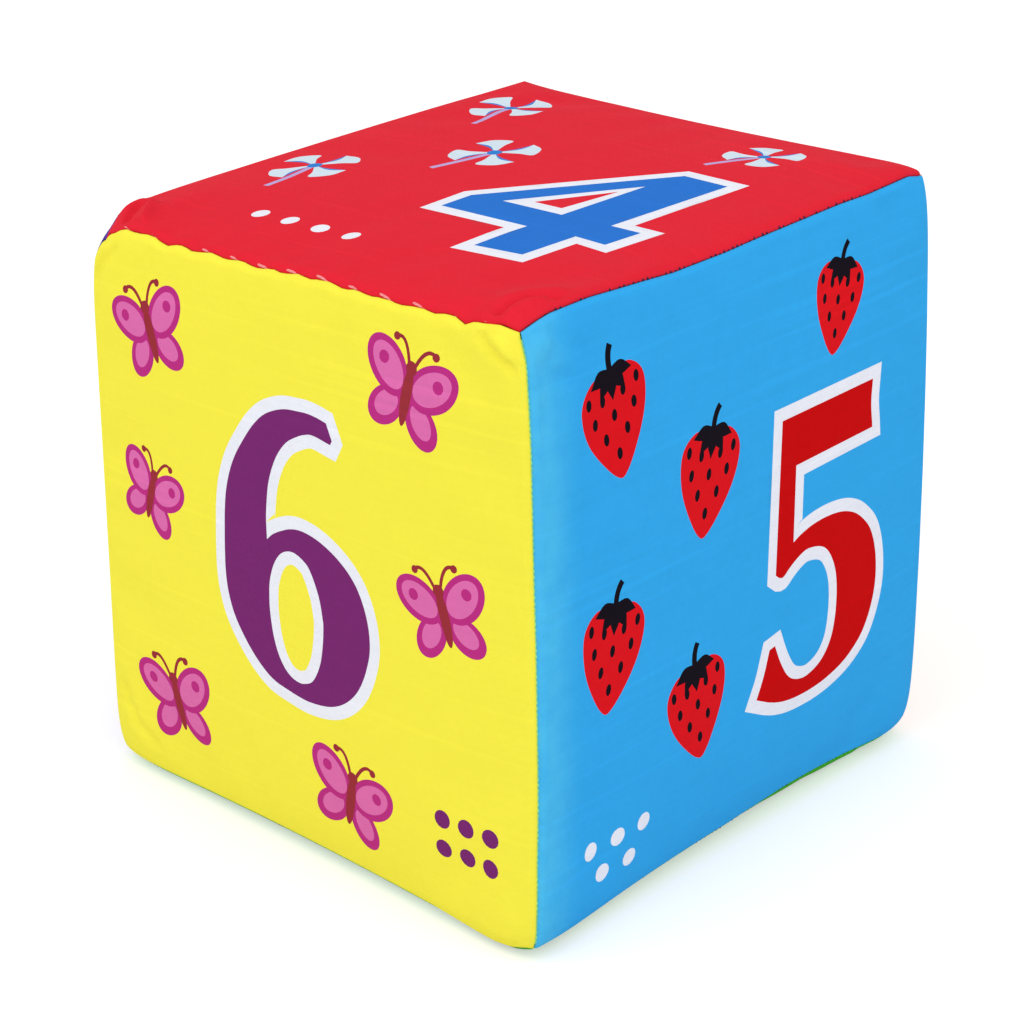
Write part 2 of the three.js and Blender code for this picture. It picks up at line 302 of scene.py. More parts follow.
# The studio. Each lamp has its power, its side, its azimuth and elevation in degrees, and its distance
FLOOR_REACH = 6000
PAPER = 0.8
PAPER_LIFT = 0.4
WORLD_LIGHT = 0.6
LAMP_TARGET = (0, 0, 50)
LAMPS = {
    "Key": (4.4, 1200, -22, 30, 1100),
    "Fill": (4.5, 1200, 80, 30, 1100),
    "Top": (2.7, 1200, 40, 82, 1200),
}


def linear(code):
    """A colour written as sRGB hex, in linear light."""
    values = [int(code[i : i + 2], 16) / 255 for i in (1, 3, 5)]
    return tuple(v / 12.92 if v <= 0.04045 else ((v + 0.055) / 1.055) ** 2.4 for v in values)


def colour_property(name, description, code):
    return FloatVectorProperty(
        name=name,
        description=description,
        default=linear(code),
        subtype="COLOR",
        size=3,
        min=0,
        max=1,
    )


def length_property(name, description, millimetres):
    return FloatProperty(
        name=name,
        description=description,
        default=millimetres * MM,
        min=0,
        unit="LENGTH",
        precision=5,
    )


class SoftDieColours(bpy.types.PropertyGroup):
    yellow: colour_property("Yellow", "Ground of face six", "#F5EB48")
    blue: colour_property("Blue", "Ground of face five", "#33A7EA")
    red: colour_property("Red", "Ground of face four", "#E02536")
    orange: colour_property("Orange", "Ground of face one", "#F28A22")
    violet: colour_property("Violet", "Ground of face two", "#5B3C9C")
    green: colour_property("Green", "Ground of face three", "#4CBE2A")
    white: colour_property("White", "Outlines of the numerals", "#EAECF6")
    purple: colour_property("Purple", "Numeral six", "#76296E")
    deep_red: colour_property("Deep red", "Numeral five", "#C8070A")
    deep_blue: colour_property("Deep blue", "Numeral four", "#2773CF")
    pink: colour_property("Pink", "Light parts of the butterflies", "#DB6CAC")
    magenta: colour_property("Magenta", "Dark parts of the butterflies", "#B92F80")
    wine: colour_property("Wine", "Bodies of the butterflies", "#98303A")
    berry: colour_property("Berry", "Strawberries", "#DC141E")
    black: colour_property("Black", "Seeds and leaves", "#150F18")
    pale: colour_property("Pale blue", "Blades of the pinwheels", "#D3E3EE")
    sky: colour_property("Sky", "Hubs of the pinwheels", "#2F7FD0")
    lilac: colour_property("Lilac", "Sticks of the pinwheels", "#B9A6D8")
    reverse: colour_property("Reverse", "Unprinted inside of the cloth", "#E9E6DE")
    foam: colour_property("Foam", "Foam block", "#F3EFDF")
    overcast: colour_property("Machine thread", "Thread of the machine seams", "#2A1038")
    sunk: colour_property("Sunk thread", "Thread of the seam between five and six", "#9BDD8A")
    # Red thread given a pale pink: painted highlight on its loops
    closing: colour_property("Hand thread", "Thread of the closing stitch", "#F08C92")


class SoftDieSizes(bpy.types.PropertyGroup):
    machine_pitch: length_property("Machine pitch", "From one machine stitch to the next", 1.0)
    hand_pitch: length_property("Hand pitch", "From one hand stitch to the next", 6.6)
    thread: length_property("Thread", "Diameter of the sewing thread", 0.4)
    weave: length_property("Weave", "From one thread of the cloth to the next, drawn coarse", 0.45)
    relief: FloatProperty(
        name="Relief",
        description="How deep the puckers beside the seams are, as a share of the usual depth",
        default=1,
        min=0,
        subtype="FACTOR",
    )


# The sewn form


def face_vectors(name):
    """The way a face looks, its right and its top."""
    return [np.array(vector, float) for vector in FACES[name]]


def axis_of(name):
    """Axis of the way a face looks, and whether it looks along it."""
    looks = face_vectors(name)[0]
    axis = int(np.argmax(abs(looks)))
    return axis, looks[axis] > 0


def bow_table():
    """Bow along the first axis at the edge of two faces, by both axes and both signs."""
    table = np.zeros((3, 3, 2, 2))
    for (first, second), (out_first, out_second) in EDGE_BOWS.items():
        a, up_a = axis_of(first)
        b, up_b = axis_of(second)
        table[a, b, int(up_a), int(up_b)] = out_first
        table[b, a, int(up_b), int(up_a)] = out_second
    return table


BOWS = bow_table()
SIDES = (False, True)
CORNER_TABLE = np.array([[[CORNERS[(x, y, z)] for z in SIDES] for y in SIDES] for x in SIDES])
SHIFTS, DRAWS = CORNER_TABLE[..., 0, :], CORNER_TABLE[..., 1, :]


def sewn(plain):
    """Where the foam and the stitching take points of a plain cube with flat faces and straight edges."""
    shares = np.minimum(abs(plain) / SEAM_HALF, 1)
    near = shares**EDGE_POWER
    swell = 1 - (1 - ROUND_SHARE) * shares**CROWN_POWER - ROUND_SHARE * shares**ROUND_POWER
    side = (plain > 0).astype(int)
    corner = DRAWS[side[:, 0], side[:, 1], side[:, 2]]
    placed = plain.copy()
    for a in range(3):
        b, c = (a + 1) % 3, (a + 2) % 3
        out = FACE_CROWN * shares[:, a] * swell[:, b] * swell[:, c]
        late_b, late_c = shares[:, b] ** DRAW_POWER, shares[:, c] ** DRAW_POWER
        felt = near[:, b] * late_c + near[:, c] * late_b - near[:, b] * near[:, c]
        drawn = corner[:, a] * felt
        for other, along in ((b, c), (c, b)):
            bow = BOWS[a, other, side[:, a], side[:, other]]
            drawn = drawn - near[:, other] * bow * (1 - shares[:, along] ** 2)
        placed[:, a] += np.sign(plain[:, a]) * (out - near[:, a] * drawn)
    high = np.clip((plain / SEAM_HALF + 1) / 2, 0, 1)
    for x, y, z in np.ndindex(2, 2, 2):
        weight = abs(1 - x - high[:, 0]) * abs(1 - y - high[:, 1]) * abs(1 - z - high[:, 2])
        placed += weight[:, None] * SHIFTS[x, y, z]
    for (first, second), knots in SEAM_WAVES.items():
        (a, up_a), (b, up_b) = axis_of(first), axis_of(second)
        sign_a, sign_b = (1 if up else -1 for up in (up_a, up_b))
        near_a = np.clip(sign_a * plain[:, a] / SEAM_REACH, 0, 1)
        near_b = np.clip(sign_b * plain[:, b] / SEAM_REACH, 0, 1)
        stray = np.interp(plain[:, 3 - a - b], *np.array(knots).T)
        placed[:, a] -= sign_a * (near_a * near_b) ** WAVE_POWER * stray
    return placed


def simulated_cover():
    """Lets the cover's cloth swell out between its sewn edges, as a cloth simulation at ten times the size.
    It gives, for each face, how far each point of an even grid then stands out of where it stood before."""
    side = SIM_CELLS + 1
    run = np.linspace(-SEAM_HALF, SEAM_HALF, side)
    grid = np.stack(np.meshgrid(run, run), -1).reshape(-1, 2)
    places, plain_places = [], []
    for name in NAMES:
        looks, right, top = face_vectors(name)
        plain = grid[:, :1] * right + grid[:, 1:] * top + SEAM_HALF * looks
        plain_places.append(plain)
        places.append(sewn(plain))
    plain = np.concatenate(plain_places)
    _, first, number = np.unique(plain.round(3), axis=0, return_index=True, return_inverse=True)
    number = number.ravel()
    start = np.concatenate(places)[first]
    faces = []
    for k in range(len(NAMES)):
        at = k * side * side + np.arange(side * side).reshape(side, side)
        cells = np.stack([at[:-1, :-1], at[:-1, 1:], at[1:, 1:], at[1:, :-1]], -1)
        faces += number[cells.reshape(-1, 4)].tolist()
    mesh = bpy.data.meshes.new("cover_cloth")
    mesh.from_pydata((start * SIM_SCALE * MM).tolist(), [], faces)
    cover = linked("cover_cloth", mesh)
    sewn_edges = cover.vertex_groups.new(name="sewn")
    at_seam = (abs(plain[first]) > SEAM_HALF - SEAM_NEAR).sum(axis=1) > 1
    sewn_edges.add(np.nonzero(at_seam)[0].tolist(), 1, "REPLACE")
    cloth = cover.modifiers.new("Cloth", "CLOTH")
    settings = cloth.settings
    settings.quality = SIM_QUALITY
    settings.mass = SIM_MASS
    settings.air_damping = SIM_DAMPING
    settings.tension_stiffness = SIM_STIFFNESS
    settings.compression_stiffness = SIM_STIFFNESS
    settings.shear_stiffness = SIM_SHEAR
    settings.bending_stiffness = SIM_BENDING
    settings.vertex_group_mass = "sewn"
    settings.shrink_min = -SIM_EASE_SHARE
    settings.use_pressure = True
    settings.uniform_pressure_force = SIM_PRESSURE
    settings.effector_weights.gravity = 0
    cloth.collision_settings.use_collision = False
    cloth.point_cache.frame_start = 1
    cloth.point_cache.frame_end = SIM_FRAMES
    for frame_number in range(1, SIM_FRAMES + 1):
        bpy.context.scene.frame_set(frame_number)
    graph = bpy.context.evaluated_depsgraph_get()
    swelled = cover.evaluated_get(graph).to_mesh()
    ends = np.zeros(len(start) * 3, np.float32)
    swelled.vertices.foreach_get("co", ends)
    cover.evaluated_get(graph).to_mesh_clear()
    bpy.data.objects.remove(cover)
    bpy.data.meshes.remove(mesh)
    bpy.context.scene.frame_set(1)
    moved = (ends.reshape(-1, 3) / (SIM_SCALE * MM) - start)[number].reshape(len(NAMES), side, side, 3)
    return {name: moved[k] @ face_vectors(name)[0] for k, name in enumerate(NAMES)}


def puckers(name):
    """The simulated cloth's waves on a face, without its slow swell, which the form has already."""
    if not SIMULATED:
        SIMULATED.update(simulated_cover())
    out = SIMULATED[name]
    slow = out
    for number in range(SLOW_ROUNDS):
        padded = np.pad(slow, 1, mode="edge")
        beside = (padded[:-2, 1:-1] + padded[2:, 1:-1] + padded[1:-1, :-2] + padded[1:-1, 2:]) / 4
        if number == 0:
            out = (out + beside) / 2
        slow = beside
        slow[0], slow[-1], slow[:, 0], slow[:, -1] = 0, 0, 0, 0
    return np.clip(out - slow, -PUCKER_LIMIT, PUCKER_LIMIT)


def distance_to(line, x, y):
    """How far points are from a line through several places."""
    found = np.full(len(x), np.inf)
    for (x0, y0), (x1, y1) in zip(line, line[1:]):
        way_x, way_y = x1 - x0, y1 - y0
        t = np.clip(((x - x0) * way_x + (y - y0) * way_y) / (way_x**2 + way_y**2), 0, 1)
        found = np.minimum(found, np.hypot(x - x0 - t * way_x, y - y0 - t * way_y))
    return found


def relief(name, x, y):
    """How far the cloth stands out of its smooth form, by its puckers and the creases at its corners."""
    waves = puckers(name)
    last = len(waves) - 1
    column = (x / SEAM_HALF + 1) / 2 * last
    row = (y / SEAM_HALF + 1) / 2 * last
    i, j = np.minimum(column.astype(int), last - 1), np.minimum(row.astype(int), last - 1)
    u, v = column - i, row - j
    low = waves[j, i] * (1 - u) + waves[j, i + 1] * u
    high = waves[j + 1, i] * (1 - u) + waves[j + 1, i + 1] * u
    corner = np.exp(-((FLAT_HALF - abs(x)) ** 2 + (FLAT_HALF - abs(y)) ** 2) / CORNER_REACH**2)
    height = (low * (1 - v) + high * v) * (PRESSED_SHARE + (1 - PRESSED_SHARE) * corner)
    for line, out, half_width in CREASES.get(name, ()):
        height += out * np.exp(-((distance_to(line, x, y) / half_width) ** 2))
    rim = np.minimum(FLAT_HALF - abs(x), FLAT_HALF - abs(y))
    return height * np.clip(rim + RIM_SHARE, 0, 1) * bpy.context.scene.soft_die_sizes.relief


def on_face(name, x, y, down, relief_share=1.0):
    """Where points of a face lie on the sewn die. x and y run from its middle, down from its plane."""
    looks, right, top = face_vectors(name)
    plain = x[:, None] * right + y[:, None] * top + (SEAM_HALF - down)[:, None] * looks
    placed = sewn(plain)
    inside_x = np.clip(x, -FLAT_HALF, FLAT_HALF)
    inside_y = np.clip(y, -FLAT_HALF, FLAT_HALF)
    placed += (relief_share * relief(name, inside_x, inside_y))[:, None] * looks
    floor = down - CENTRE_HEIGHT if name == RESTING_FACE else -CENTRE_HEIGHT
    placed[:, 2] = np.maximum(placed[:, 2], floor)
    return placed


def under_face(name, x, y, depth):
    """Where points below a face lie, straight under its cloth at that depth."""
    none = np.zeros(len(x))
    along_x = on_face(name, x + UNDER_STEP, y, none) - on_face(name, x - UNDER_STEP, y, none)
    along_y = on_face(name, x, y + UNDER_STEP, none) - on_face(name, x, y - UNDER_STEP, none)
    out = np.cross(along_x, along_y)
    out /= np.linalg.norm(out, axis=1)[:, None]
    return on_face(name, x, y, none) - depth * out


# Outlines of the print, in millimetres from the middle of a face


def smooth(points):
    """A closed line through points. One with a third value is a corner, where the line turns at once."""
    line = []
    count = len(points)
    for i in range(count):
        before, start, end, after = (points[(i + k) % count] for k in (-1, 0, 1, 2))
        p, q = np.array(start[:2], float), np.array(end[:2], float)
        leave = (q - p) if len(start) > 2 else (q - np.array(before[:2], float)) / 2
        reach = (q - p) if len(end) > 2 else (np.array(after[:2], float) - p) / 2
        if len(start) > 2 and len(end) > 2:
            steps = 1
        else:
            steps = max(2, math.ceil(np.linalg.norm(q - p) / PRINT_STEP))
        for k in range(steps):
            t = k / steps
            line.append(
                (2 * t**3 - 3 * t**2 + 1) * p
                + (t**3 - 2 * t**2 + t) * leave
                + (3 * t**2 - 2 * t**3) * q
                + (t**3 - t**2) * reach
            )
    return np.array(line)


def oval(x, y, half_width, half_height, turn=0.0):
    """A closed oval, turned by degrees against the clock."""
    count = max(OVAL_LEAST, int(2 * math.pi * max(half_width, half_height) / OVAL_STEP))
    angle = np.linspace(0, 2 * math.pi, count, endpoint=False)
    ring = np.stack([half_width * np.cos(angle), half_height * np.sin(angle)], 1)
    return turned(ring, turn) + (x, y)


def turned(ring, degrees):
    angle = math.radians(degrees)
    c, s = math.cos(angle), math.sin(angle)
    return ring @ np.array([[c, s], [-s, c]])


def bar(start, pull, end, width):
    """A closed strip of that width along a curve from start to end, drawn towards a point between them."""
    t = np.linspace(0, 1, BAR_STEPS + 1)[:, None]
    line = (1 - t) ** 2 * np.array(start) + 2 * t * (1 - t) * np.array(pull) + t**2 * np.array(end)
    way = np.gradient(line, axis=0)
    way /= np.linalg.norm(way, axis=1)[:, None]
    aside = np.stack([-way[:, 1], way[:, 0]], 1) * width / 2
    return np.concatenate([line + aside, (line - aside)[::-1]])


def area_of(ring):
    after = np.roll(ring, -1, axis=0)
    return float(np.sum(ring[:, 0] * after[:, 1] - after[:, 0] * ring[:, 1]) / 2)


def grown(ring, width):
    """The ring moved to its right by width, with pointed corners. Wound against the clock, it grows."""
    last = np.roll(ring, 1, axis=0)
    ring = np.array([p for p, q in zip(ring, last) if np.linalg.norm(p - q) > SAME_PLACE])
    ahead = np.roll(ring, -1, axis=0) - ring
    ahead /= np.linalg.norm(ahead, axis=1)[:, None]
    right = np.stack([ahead[:, 1], -ahead[:, 0]], 1)
    before = np.roll(right, 1, axis=0)
    middle = right + before
    middle /= np.maximum(np.sum(middle * right, axis=1), POINTED_SHARE)[:, None]
    return ring + middle * width


def winding(points, ring):
    """How often a ring goes round each point."""
    turns = np.zeros(len(points), int)
    low, high = ring.min(0), ring.max(0)
    close = np.all((points >= low) & (points <= high), axis=1)
    x, y = points[close, 0][:, None], points[close, 1][:, None]
    start, end = ring, np.roll(ring, -1, axis=0)
    left = (end[:, 0] - start[:, 0]) * (y - start[:, 1]) - (x - start[:, 0]) * (end[:, 1] - start[:, 1])
    up = (start[:, 1] <= y) & (end[:, 1] > y) & (left > 0)
    down = (start[:, 1] > y) & (end[:, 1] <= y) & (left < 0)
    turns[close] = np.sum(up, axis=1) - np.sum(down, axis=1)
    return turns


# Numerals: the width of the white outline round each, its outer outline, and the outlines of its holes
NUMERALS = {
    "one": (
        2.1,
        [(-9, 13, 1), (0, 23, 1), (7, 23, 1), (7, -23, 1), (-2.5, -23, 1), (-2.5, 11.5, 1), (-9, 6.5, 1)],
    ),
    "two": (
        2.1,
        [
            (-12.8, 9, 1), (-12.2, 14.5), (-8.5, 21), (0, 24), (8.6, 21.4), (13, 14.2), (12.4, 6.6),
            (8.4, -0.6), (3.4, -7), (-1, -13.8, 1), (13.2, -13.8, 1), (13.2, -22.5, 1), (-14, -22.5, 1),
            (-12.8, -15.6), (-8.6, -8), (-2.4, -0.2), (2.2, 6.4), (3.7, 11.6), (2.6, 15), (0, 16.3),
            (-2.6, 14.8), (-3.7, 11.4), (-3.8, 9, 1),
        ],
    ),
    "three": (
        2.1,
        [
            (-12.5, 12, 1), (-8.5, 20.5), (0, 24), (9.5, 21), (12.4, 12.5), (9.4, 4.6), (5.6, 2),
            (11.6, -2.6), (13.4, -11), (9.6, -20), (0, -24), (-9.6, -20.6), (-13, -12, 1), (-5, -10.4, 1),
            (-3.6, -14.2), (0, -16), (4, -14), (4.8, -9.6), (2.6, -4.6), (-2.6, -3.6, 1), (-2.2, 4.6, 1),
            (2.4, 6), (4.2, 11), (2.4, 15), (-0.4, 16.2), (-3.4, 14.6), (-4.6, 11.4, 1),
        ],
    ),
    "four": (
        2.4,
        [
            (22.8, 15.6, 1), (31.7, 15.8, 1), (30.9, -10.6, 1), (36.6, -10.3, 1), (36.1, -17.7, 1),
            (30.4, -17.9, 1), (29.9, -28.8, 1), (20.3, -29.1, 1), (20.9, -18.5, 1), (1.9, -18.1, 1),
            (1.8, -11.5, 1),
        ],
        [(21.6, 7.5, 1), (21.3, -11.3, 1), (8.3, -11, 1)],
    ),
    "five": (
        2.1,
        [
            (7.8, 18.9, 1), (31.4, 19, 1), (31.1, 15), (31.7, 11, 1), (11.5, 10.8, 1), (11.2, -1.6, 1),
            (13.1, -0.9), (15.9, -0.3), (19, -0.1), (22.2, -0.3), (25, -0.9), (27.7, -2.1), (30, -3.9),
            (31.8, -5.9), (33.1, -8.4), (33.8, -11.1), (33.9, -14.3), (33.4, -17.5), (32.2, -20.7),
            (30.4, -23.5), (28.1, -25.5), (25.4, -27), (22.2, -28), (19, -28.6), (15.9, -28.8),
            (12.7, -28.6), (9.5, -28), (6.3, -26.9), (2.7, -25.1, 1), (4.3, -21.6), (5.6, -17.6, 1),
            (7, -17.4, 1), (7.7, -19), (8.8, -21.2), (10.4, -23.6), (12.2, -25), (15, -25.8),
            (17.7, -25.3), (20, -23.9), (21.8, -21.4), (22.7, -18.2), (23, -14.3), (22.7, -10.9),
            (21.8, -8.2), (20.2, -5.8), (18.1, -4.5), (15, -3.9), (12.7, -4.4), (10.4, -5.5), (8.8, -6.5),
            (7.7, -6.3, 1), (6.8, -5.6, 1),
        ],
    ),
    "six": (
        2.1,
        [
            (9.9, 26.7, 1), (11.1, 24.2, 1), (10.7, 23.5, 1), (7, 24.1), (5, 23.8), (2.9, 22.9),
            (0.8, 21.6), (-1.1, 19.5), (-2.5, 17), (-3.5, 14.3), (-4, 11.8), (-4.4, 8.5), (-4.4, 4.8, 1),
            (-3, 6), (-0.9, 7.1), (1.2, 7.9), (3.7, 8.2), (7, 7.7), (10.4, 6.4), (13.3, 4.6), (15.4, 2.5),
            (16.8, 0), (17.7, -2.8), (18, -5.3), (17.9, -7.4), (17.4, -9.5), (16.4, -12.2), (15, -14.7),
            (13.1, -16.8), (10.8, -18.4), (8.3, -19.4), (5.4, -19.9), (2.5, -20), (-1.3, -19.5),
            (-3.8, -19), (-5.9, -18), (-8.4, -16.1), (-10.9, -13.4), (-13, -10.3), (-14.2, -7),
            (-14.7, -3.6), (-14.7, 0.1), (-14.5, 3.9), (-14.2, 7.6), (-13.6, 11), (-12.5, 14.3),
            (-11.1, 17), (-9.2, 19.7), (-6.9, 22.6), (-4.6, 24.7), (-2.1, 26), (0.8, 26.9), (3.7, 27.2),
            (5.8, 27.3), (7.9, 27.1),
        ],
        [
            (1.3, 4.2), (3.7, 3.5), (5.3, 2.1), (7, -1.5), (7.7, -4.9), (7.8, -6.5), (7.5, -9.5),
            (6.7, -13), (5, -16.1), (3.1, -17.2), (1.6, -17.4), (0, -17), (-1.5, -15.9), (-2.9, -13.8),
            (-3.9, -10.7), (-4.4, -7), (-4.4, -4.5), (-4.1, -1.8), (-2.9, 1.3), (-1.1, 3.4),
        ],
    ),
}


def numeral(name, colour):
    """A numeral in its colour on a white outline, as a list of print shapes."""
    outline, *outlines = NUMERALS[name]
    rings = []
    for number, points in enumerate(outlines):
        ring = smooth(points)
        outer = number == 0
        rings.append(ring if (area_of(ring) > 0) == outer else ring[::-1])
    return [("white", [grown(ring, outline) for ring in rings]), (colour, rings)]


# Motifs. Each is a list of print shapes round its own middle
BERRY = (
    (0, 4.1), (2.7, 4.4), (4.6, 2.3), (3.9, -1.6), (0.9, -5.9),
    (-0.9, -5.9), (-3.9, -1.6), (-4.6, 2.3), (-2.7, 4.4),
)
SEEDS = (
    (0, -3.9), (-1.5, -1.9), (1.5, -1.9), (0, 0), (-2.8, 0.2),
    (2.8, 0.2), (-1.5, 2), (1.5, 2), (-3.5, 2.5), (3.5, 2.5),
)
MOON = ((1.5, 5.6, 1), (-3.4, 4.4), (-5.4, 0), (-3.4, -4.4), (1.5, -5.6, 1), (-1.3, -3), (-2, 0), (-1.3, 3))


def butterfly():
    shapes = []
    for side in (-1, 1):
        feeler = bar((0.2 * side, 2.4), (1.4 * side, 6.3), (2.9 * side, 5.5), 0.45)
        shapes.append(("wine", [feeler]))
        shapes.append(("wine", [oval(3.0 * side, 5.4, 0.5, 0.5)]))
        shapes.append(("magenta", [oval(2.7 * side, -2.7, 2.9, 2.1, -48 * side)]))
        shapes.append(("pink", [oval(2.6 * side, -2.4, 2.0, 1.3, -48 * side)]))
        shapes.append(("magenta", [oval(3.4 * side, 1.8, 3.7, 2.6, 38 * side)]))
        shapes.append(("pink", [oval(3.3 * side, 1.8, 2.9, 1.8, 38 * side)]))
        shapes.append(("magenta", [oval(4.1 * side, 2.4, 0.75, 0.75)]))
    shapes.append(("wine", [oval(0, -0.4, 0.75, 3.6)]))
    shapes.append(("wine", [oval(0, 2.8, 0.85, 0.85)]))
    return shapes


def strawberry():
    shapes = [("berry", [smooth(BERRY)])]
    for x, y in SEEDS:
        shapes.append(("black", [oval(x, y, 0.38, 0.62)]))
    for turn in (-72, -36, 0, 36, 72):
        leaf = smooth([(0, 0, 1), (0.75, -1.5), (0, -3.2, 1), (-0.75, -1.5)])
        shapes.append(("black", [turned(leaf, turn) + (0, 4.7)]))
    shapes.append(("black", [bar((0, 4.4), (-0.1, 5.9), (0.7, 6.8), 0.75)]))
    return shapes


def pinwheel():
    shapes = [("lilac", [bar((0, 0), (0.3, -4), (0.1, -8), 0.75)])]
    for k in range(4):
        blade = smooth([(0, 0, 1), (0.6, 2.2), (0.5, 4.7, 1), (2.6, 4.3), (3.9, 2.4), (2.3, 1.6)])
        shapes.append(("pale", [turned(blade, 90 * k)]))
        shadow = smooth([(0, 0, 1), (0.6, 2.2), (0.5, 4.7, 1), (1.0, 2.6)])
        shapes.append(("sky", [turned(shadow, 90 * k)]))
    shapes.append(("sky", [oval(0, 0, 0.85, 0.85)]))
    return shapes


def sun():
    shapes = []
    for k in range(10):
        ray = np.array([(-0.9, 4.6), (0.9, 4.6), (0, 7.2)])
        shapes.append(("yellow", [turned(ray, 36 * k)]))
    shapes.append(("yellow", [oval(0, 0, 4, 4)]))
    return shapes


def moon():
    return [("yellow", [smooth(MOON)])]


def flower():
    shapes = []
    for k in range(5):
        x, y = turned(np.array([[0, 3.2]]), 72 * k)[0]
        shapes.append(("pink", [oval(x, y, 1.9, 2.4, 72 * k)]))
    shapes.append(("yellow", [oval(0, 0, 1.8, 1.8)]))
    return shapes


def set_at(shapes, x, y, turn=0.0, scale=1.0):
    return [(colour, [turned(ring * scale, turn) + (x, y) for ring in rings]) for colour, rings in shapes]


def pips(colour, places):
    return [(colour, [oval(x, y, PIP_RADIUS, PIP_RADIUS)]) for x, y in places]


# Each face's print: ground, numeral's colour, motif with its places, turns and scales, and pips
PRINTS = {
    "one": ("orange", "deep_blue", sun, ((-27, 24, 9, 2),), ("white", ((27, -32),))),
    "two": (
        "violet", "yellow", moon,
        ((-29, 25, 15, 2), (30, -21, -15, 1.8)),
        ("white", ((-31, -32), (-26, -32))),
    ),
    "three": (
        "green", "purple", flower,
        ((-29, 27, 10, 1.8), (29, 8, 35, 1.8), (-28, -22, 60, 1.8)),
        ("white", ((24, -35), (29, -35), (34, -35))),
    ),
    "four": (
        "red", "deep_blue", pinwheel,
        ((-33, 31, 14, 1.55), (-13, 8, -12, 1.55), (-34, -13, 10, 1.55), (25, 33, -22, 1.4)),
        ("white", ((-21, -35), (-14, -35), (-7, -35), (0, -35))),
    ),
    "five": (
        "blue", "deep_red", strawberry,
        ((-31, 31, 9, 1.5), (-10, 16, -9, 1.5), (-32, -4, -8, 1.5), (-12, -20, 8, 1.5), (22, 34, -12, 1.3)),
        ("white", ((-36, -35), (-30, -35), (-24, -35), (-33, -40), (-27, -40))),
    ),
    "six": (
        "yellow", "purple", butterfly,
        (
            (-31, 33, 18, 1.35), (-33, 5, -16, 1.2), (-29, -31, 10, 1.4), (27, 35, -14, 1.35),
            (33, 3, 14, 1.25), (12, -34, -12, 1.35),
        ),
        ("purple", ((32, -30), (36.5, -30), (41, -30), (32, -35), (36.5, -35), (41, -35))),
    ),
}


def print_shapes(name):
    ground, colour, motif, places, (pip_colour, pip_places) = PRINTS[name]
    shapes = numeral(name, colour)
    for place in places:
        shapes += set_at(motif(), *place)
    return ground, shapes + pips(pip_colour, pip_places)


# Meshes


def stations(cells):
    """Shares from -1 to 1 across a face, closer together towards its edges, where the form turns most."""
    even = np.linspace(-1, 1, cells + 1)
    return EVEN_SHARE * even + CLOSE_SHARE * np.sin(math.pi / 2 * even)


def square_grid(run):
    """Points of a square grid that has those places along both its sides, row by row."""
    return np.stack(np.meshgrid(run, run), -1).reshape(-1, 2)


def grid_faces(cells, start):
    """Faces of a square grid whose first point has that number."""
    row = cells + 1
    firsts = [start + j * row + i for j in range(cells) for i in range(cells)]
    return [(at, at + 1, at + row + 1, at + row) for at in firsts]


def square_rim(cells):
    """Points round a square grid, once against the clock, as shares from -1 to 1 of its half side."""
    run = stations(cells)[:-1]
    points = [(t, -1) for t in run] + [(1, t) for t in run]
    points += [(-t, 1) for t in run] + [(-1, -t) for t in run]
    return np.array(points, float)


def rim_numbers(cells, start):
    """The numbers of the same points in a grid whose first point has that number."""
    run = range(cells)
    last = cells
    places = [(i, 0) for i in run] + [(last, j) for j in run]
    places += [(last - i, last) for i in run] + [(0, last - j) for j in run]
    return [start + j * (cells + 1) + i for i, j in places]


def triangulated(shapes, cells):
    """A flat panel as points and triangles that follow every outline of its print, and their colours."""
    rim = square_rim(cells) * FLAT_HALF
    grid = square_grid(stations(cells)[1:-1] * FLAT_HALF)
    rings = [ring for _, group in shapes for ring in group]
    lines = np.concatenate(rings)
    spare = SPARE_SHARE * 2 * FLAT_HALF / cells
    keep = np.ones(len(grid), bool)
    for first in range(0, len(lines), LINES_AT_ONCE):
        part = lines[first : first + LINES_AT_ONCE]
        apart = np.linalg.norm(grid[:, None] - part[None], axis=2).min(1)
        keep &= apart > spare
    points = [*rim, *grid[keep]]
    edges = [(i, (i + 1) % len(rim)) for i in range(len(rim))]
    for ring in rings:
        start = len(points)
        points.extend(ring)
        edges += [(start + i, start + (i + 1) % len(ring)) for i in range(len(ring))]
    found = delaunay_2d_cdt([Vector(p) for p in points], edges, [], 0, CUT_NEARNESS, False)
    flat = np.array([tuple(p) for p in found[0]], float)
    triangles = np.array([tuple(f) for f in found[2]], int)
    a, b, c = (flat[triangles[:, k]] for k in range(3))
    twice = (b[:, 0] - a[:, 0]) * (c[:, 1] - a[:, 1]) - (b[:, 1] - a[:, 1]) * (c[:, 0] - a[:, 0])
    triangles = np.where((twice < 0)[:, None], triangles[:, ::-1], triangles)[abs(twice) > NO_AREA]
    middles = flat[triangles].mean(1)
    colours = np.full(len(triangles), "", dtype=object)
    for colour, group in shapes:
        inside = sum(winding(middles, ring) for ring in group) != 0
        colours[inside] = colour
    return flat, triangles, colours


def band(ring, after):
    """Faces from one ring of points to the next."""
    count = len(ring)
    return [(ring[k], after[k], after[(k + 1) % count], ring[(k + 1) % count]) for k in range(count)]


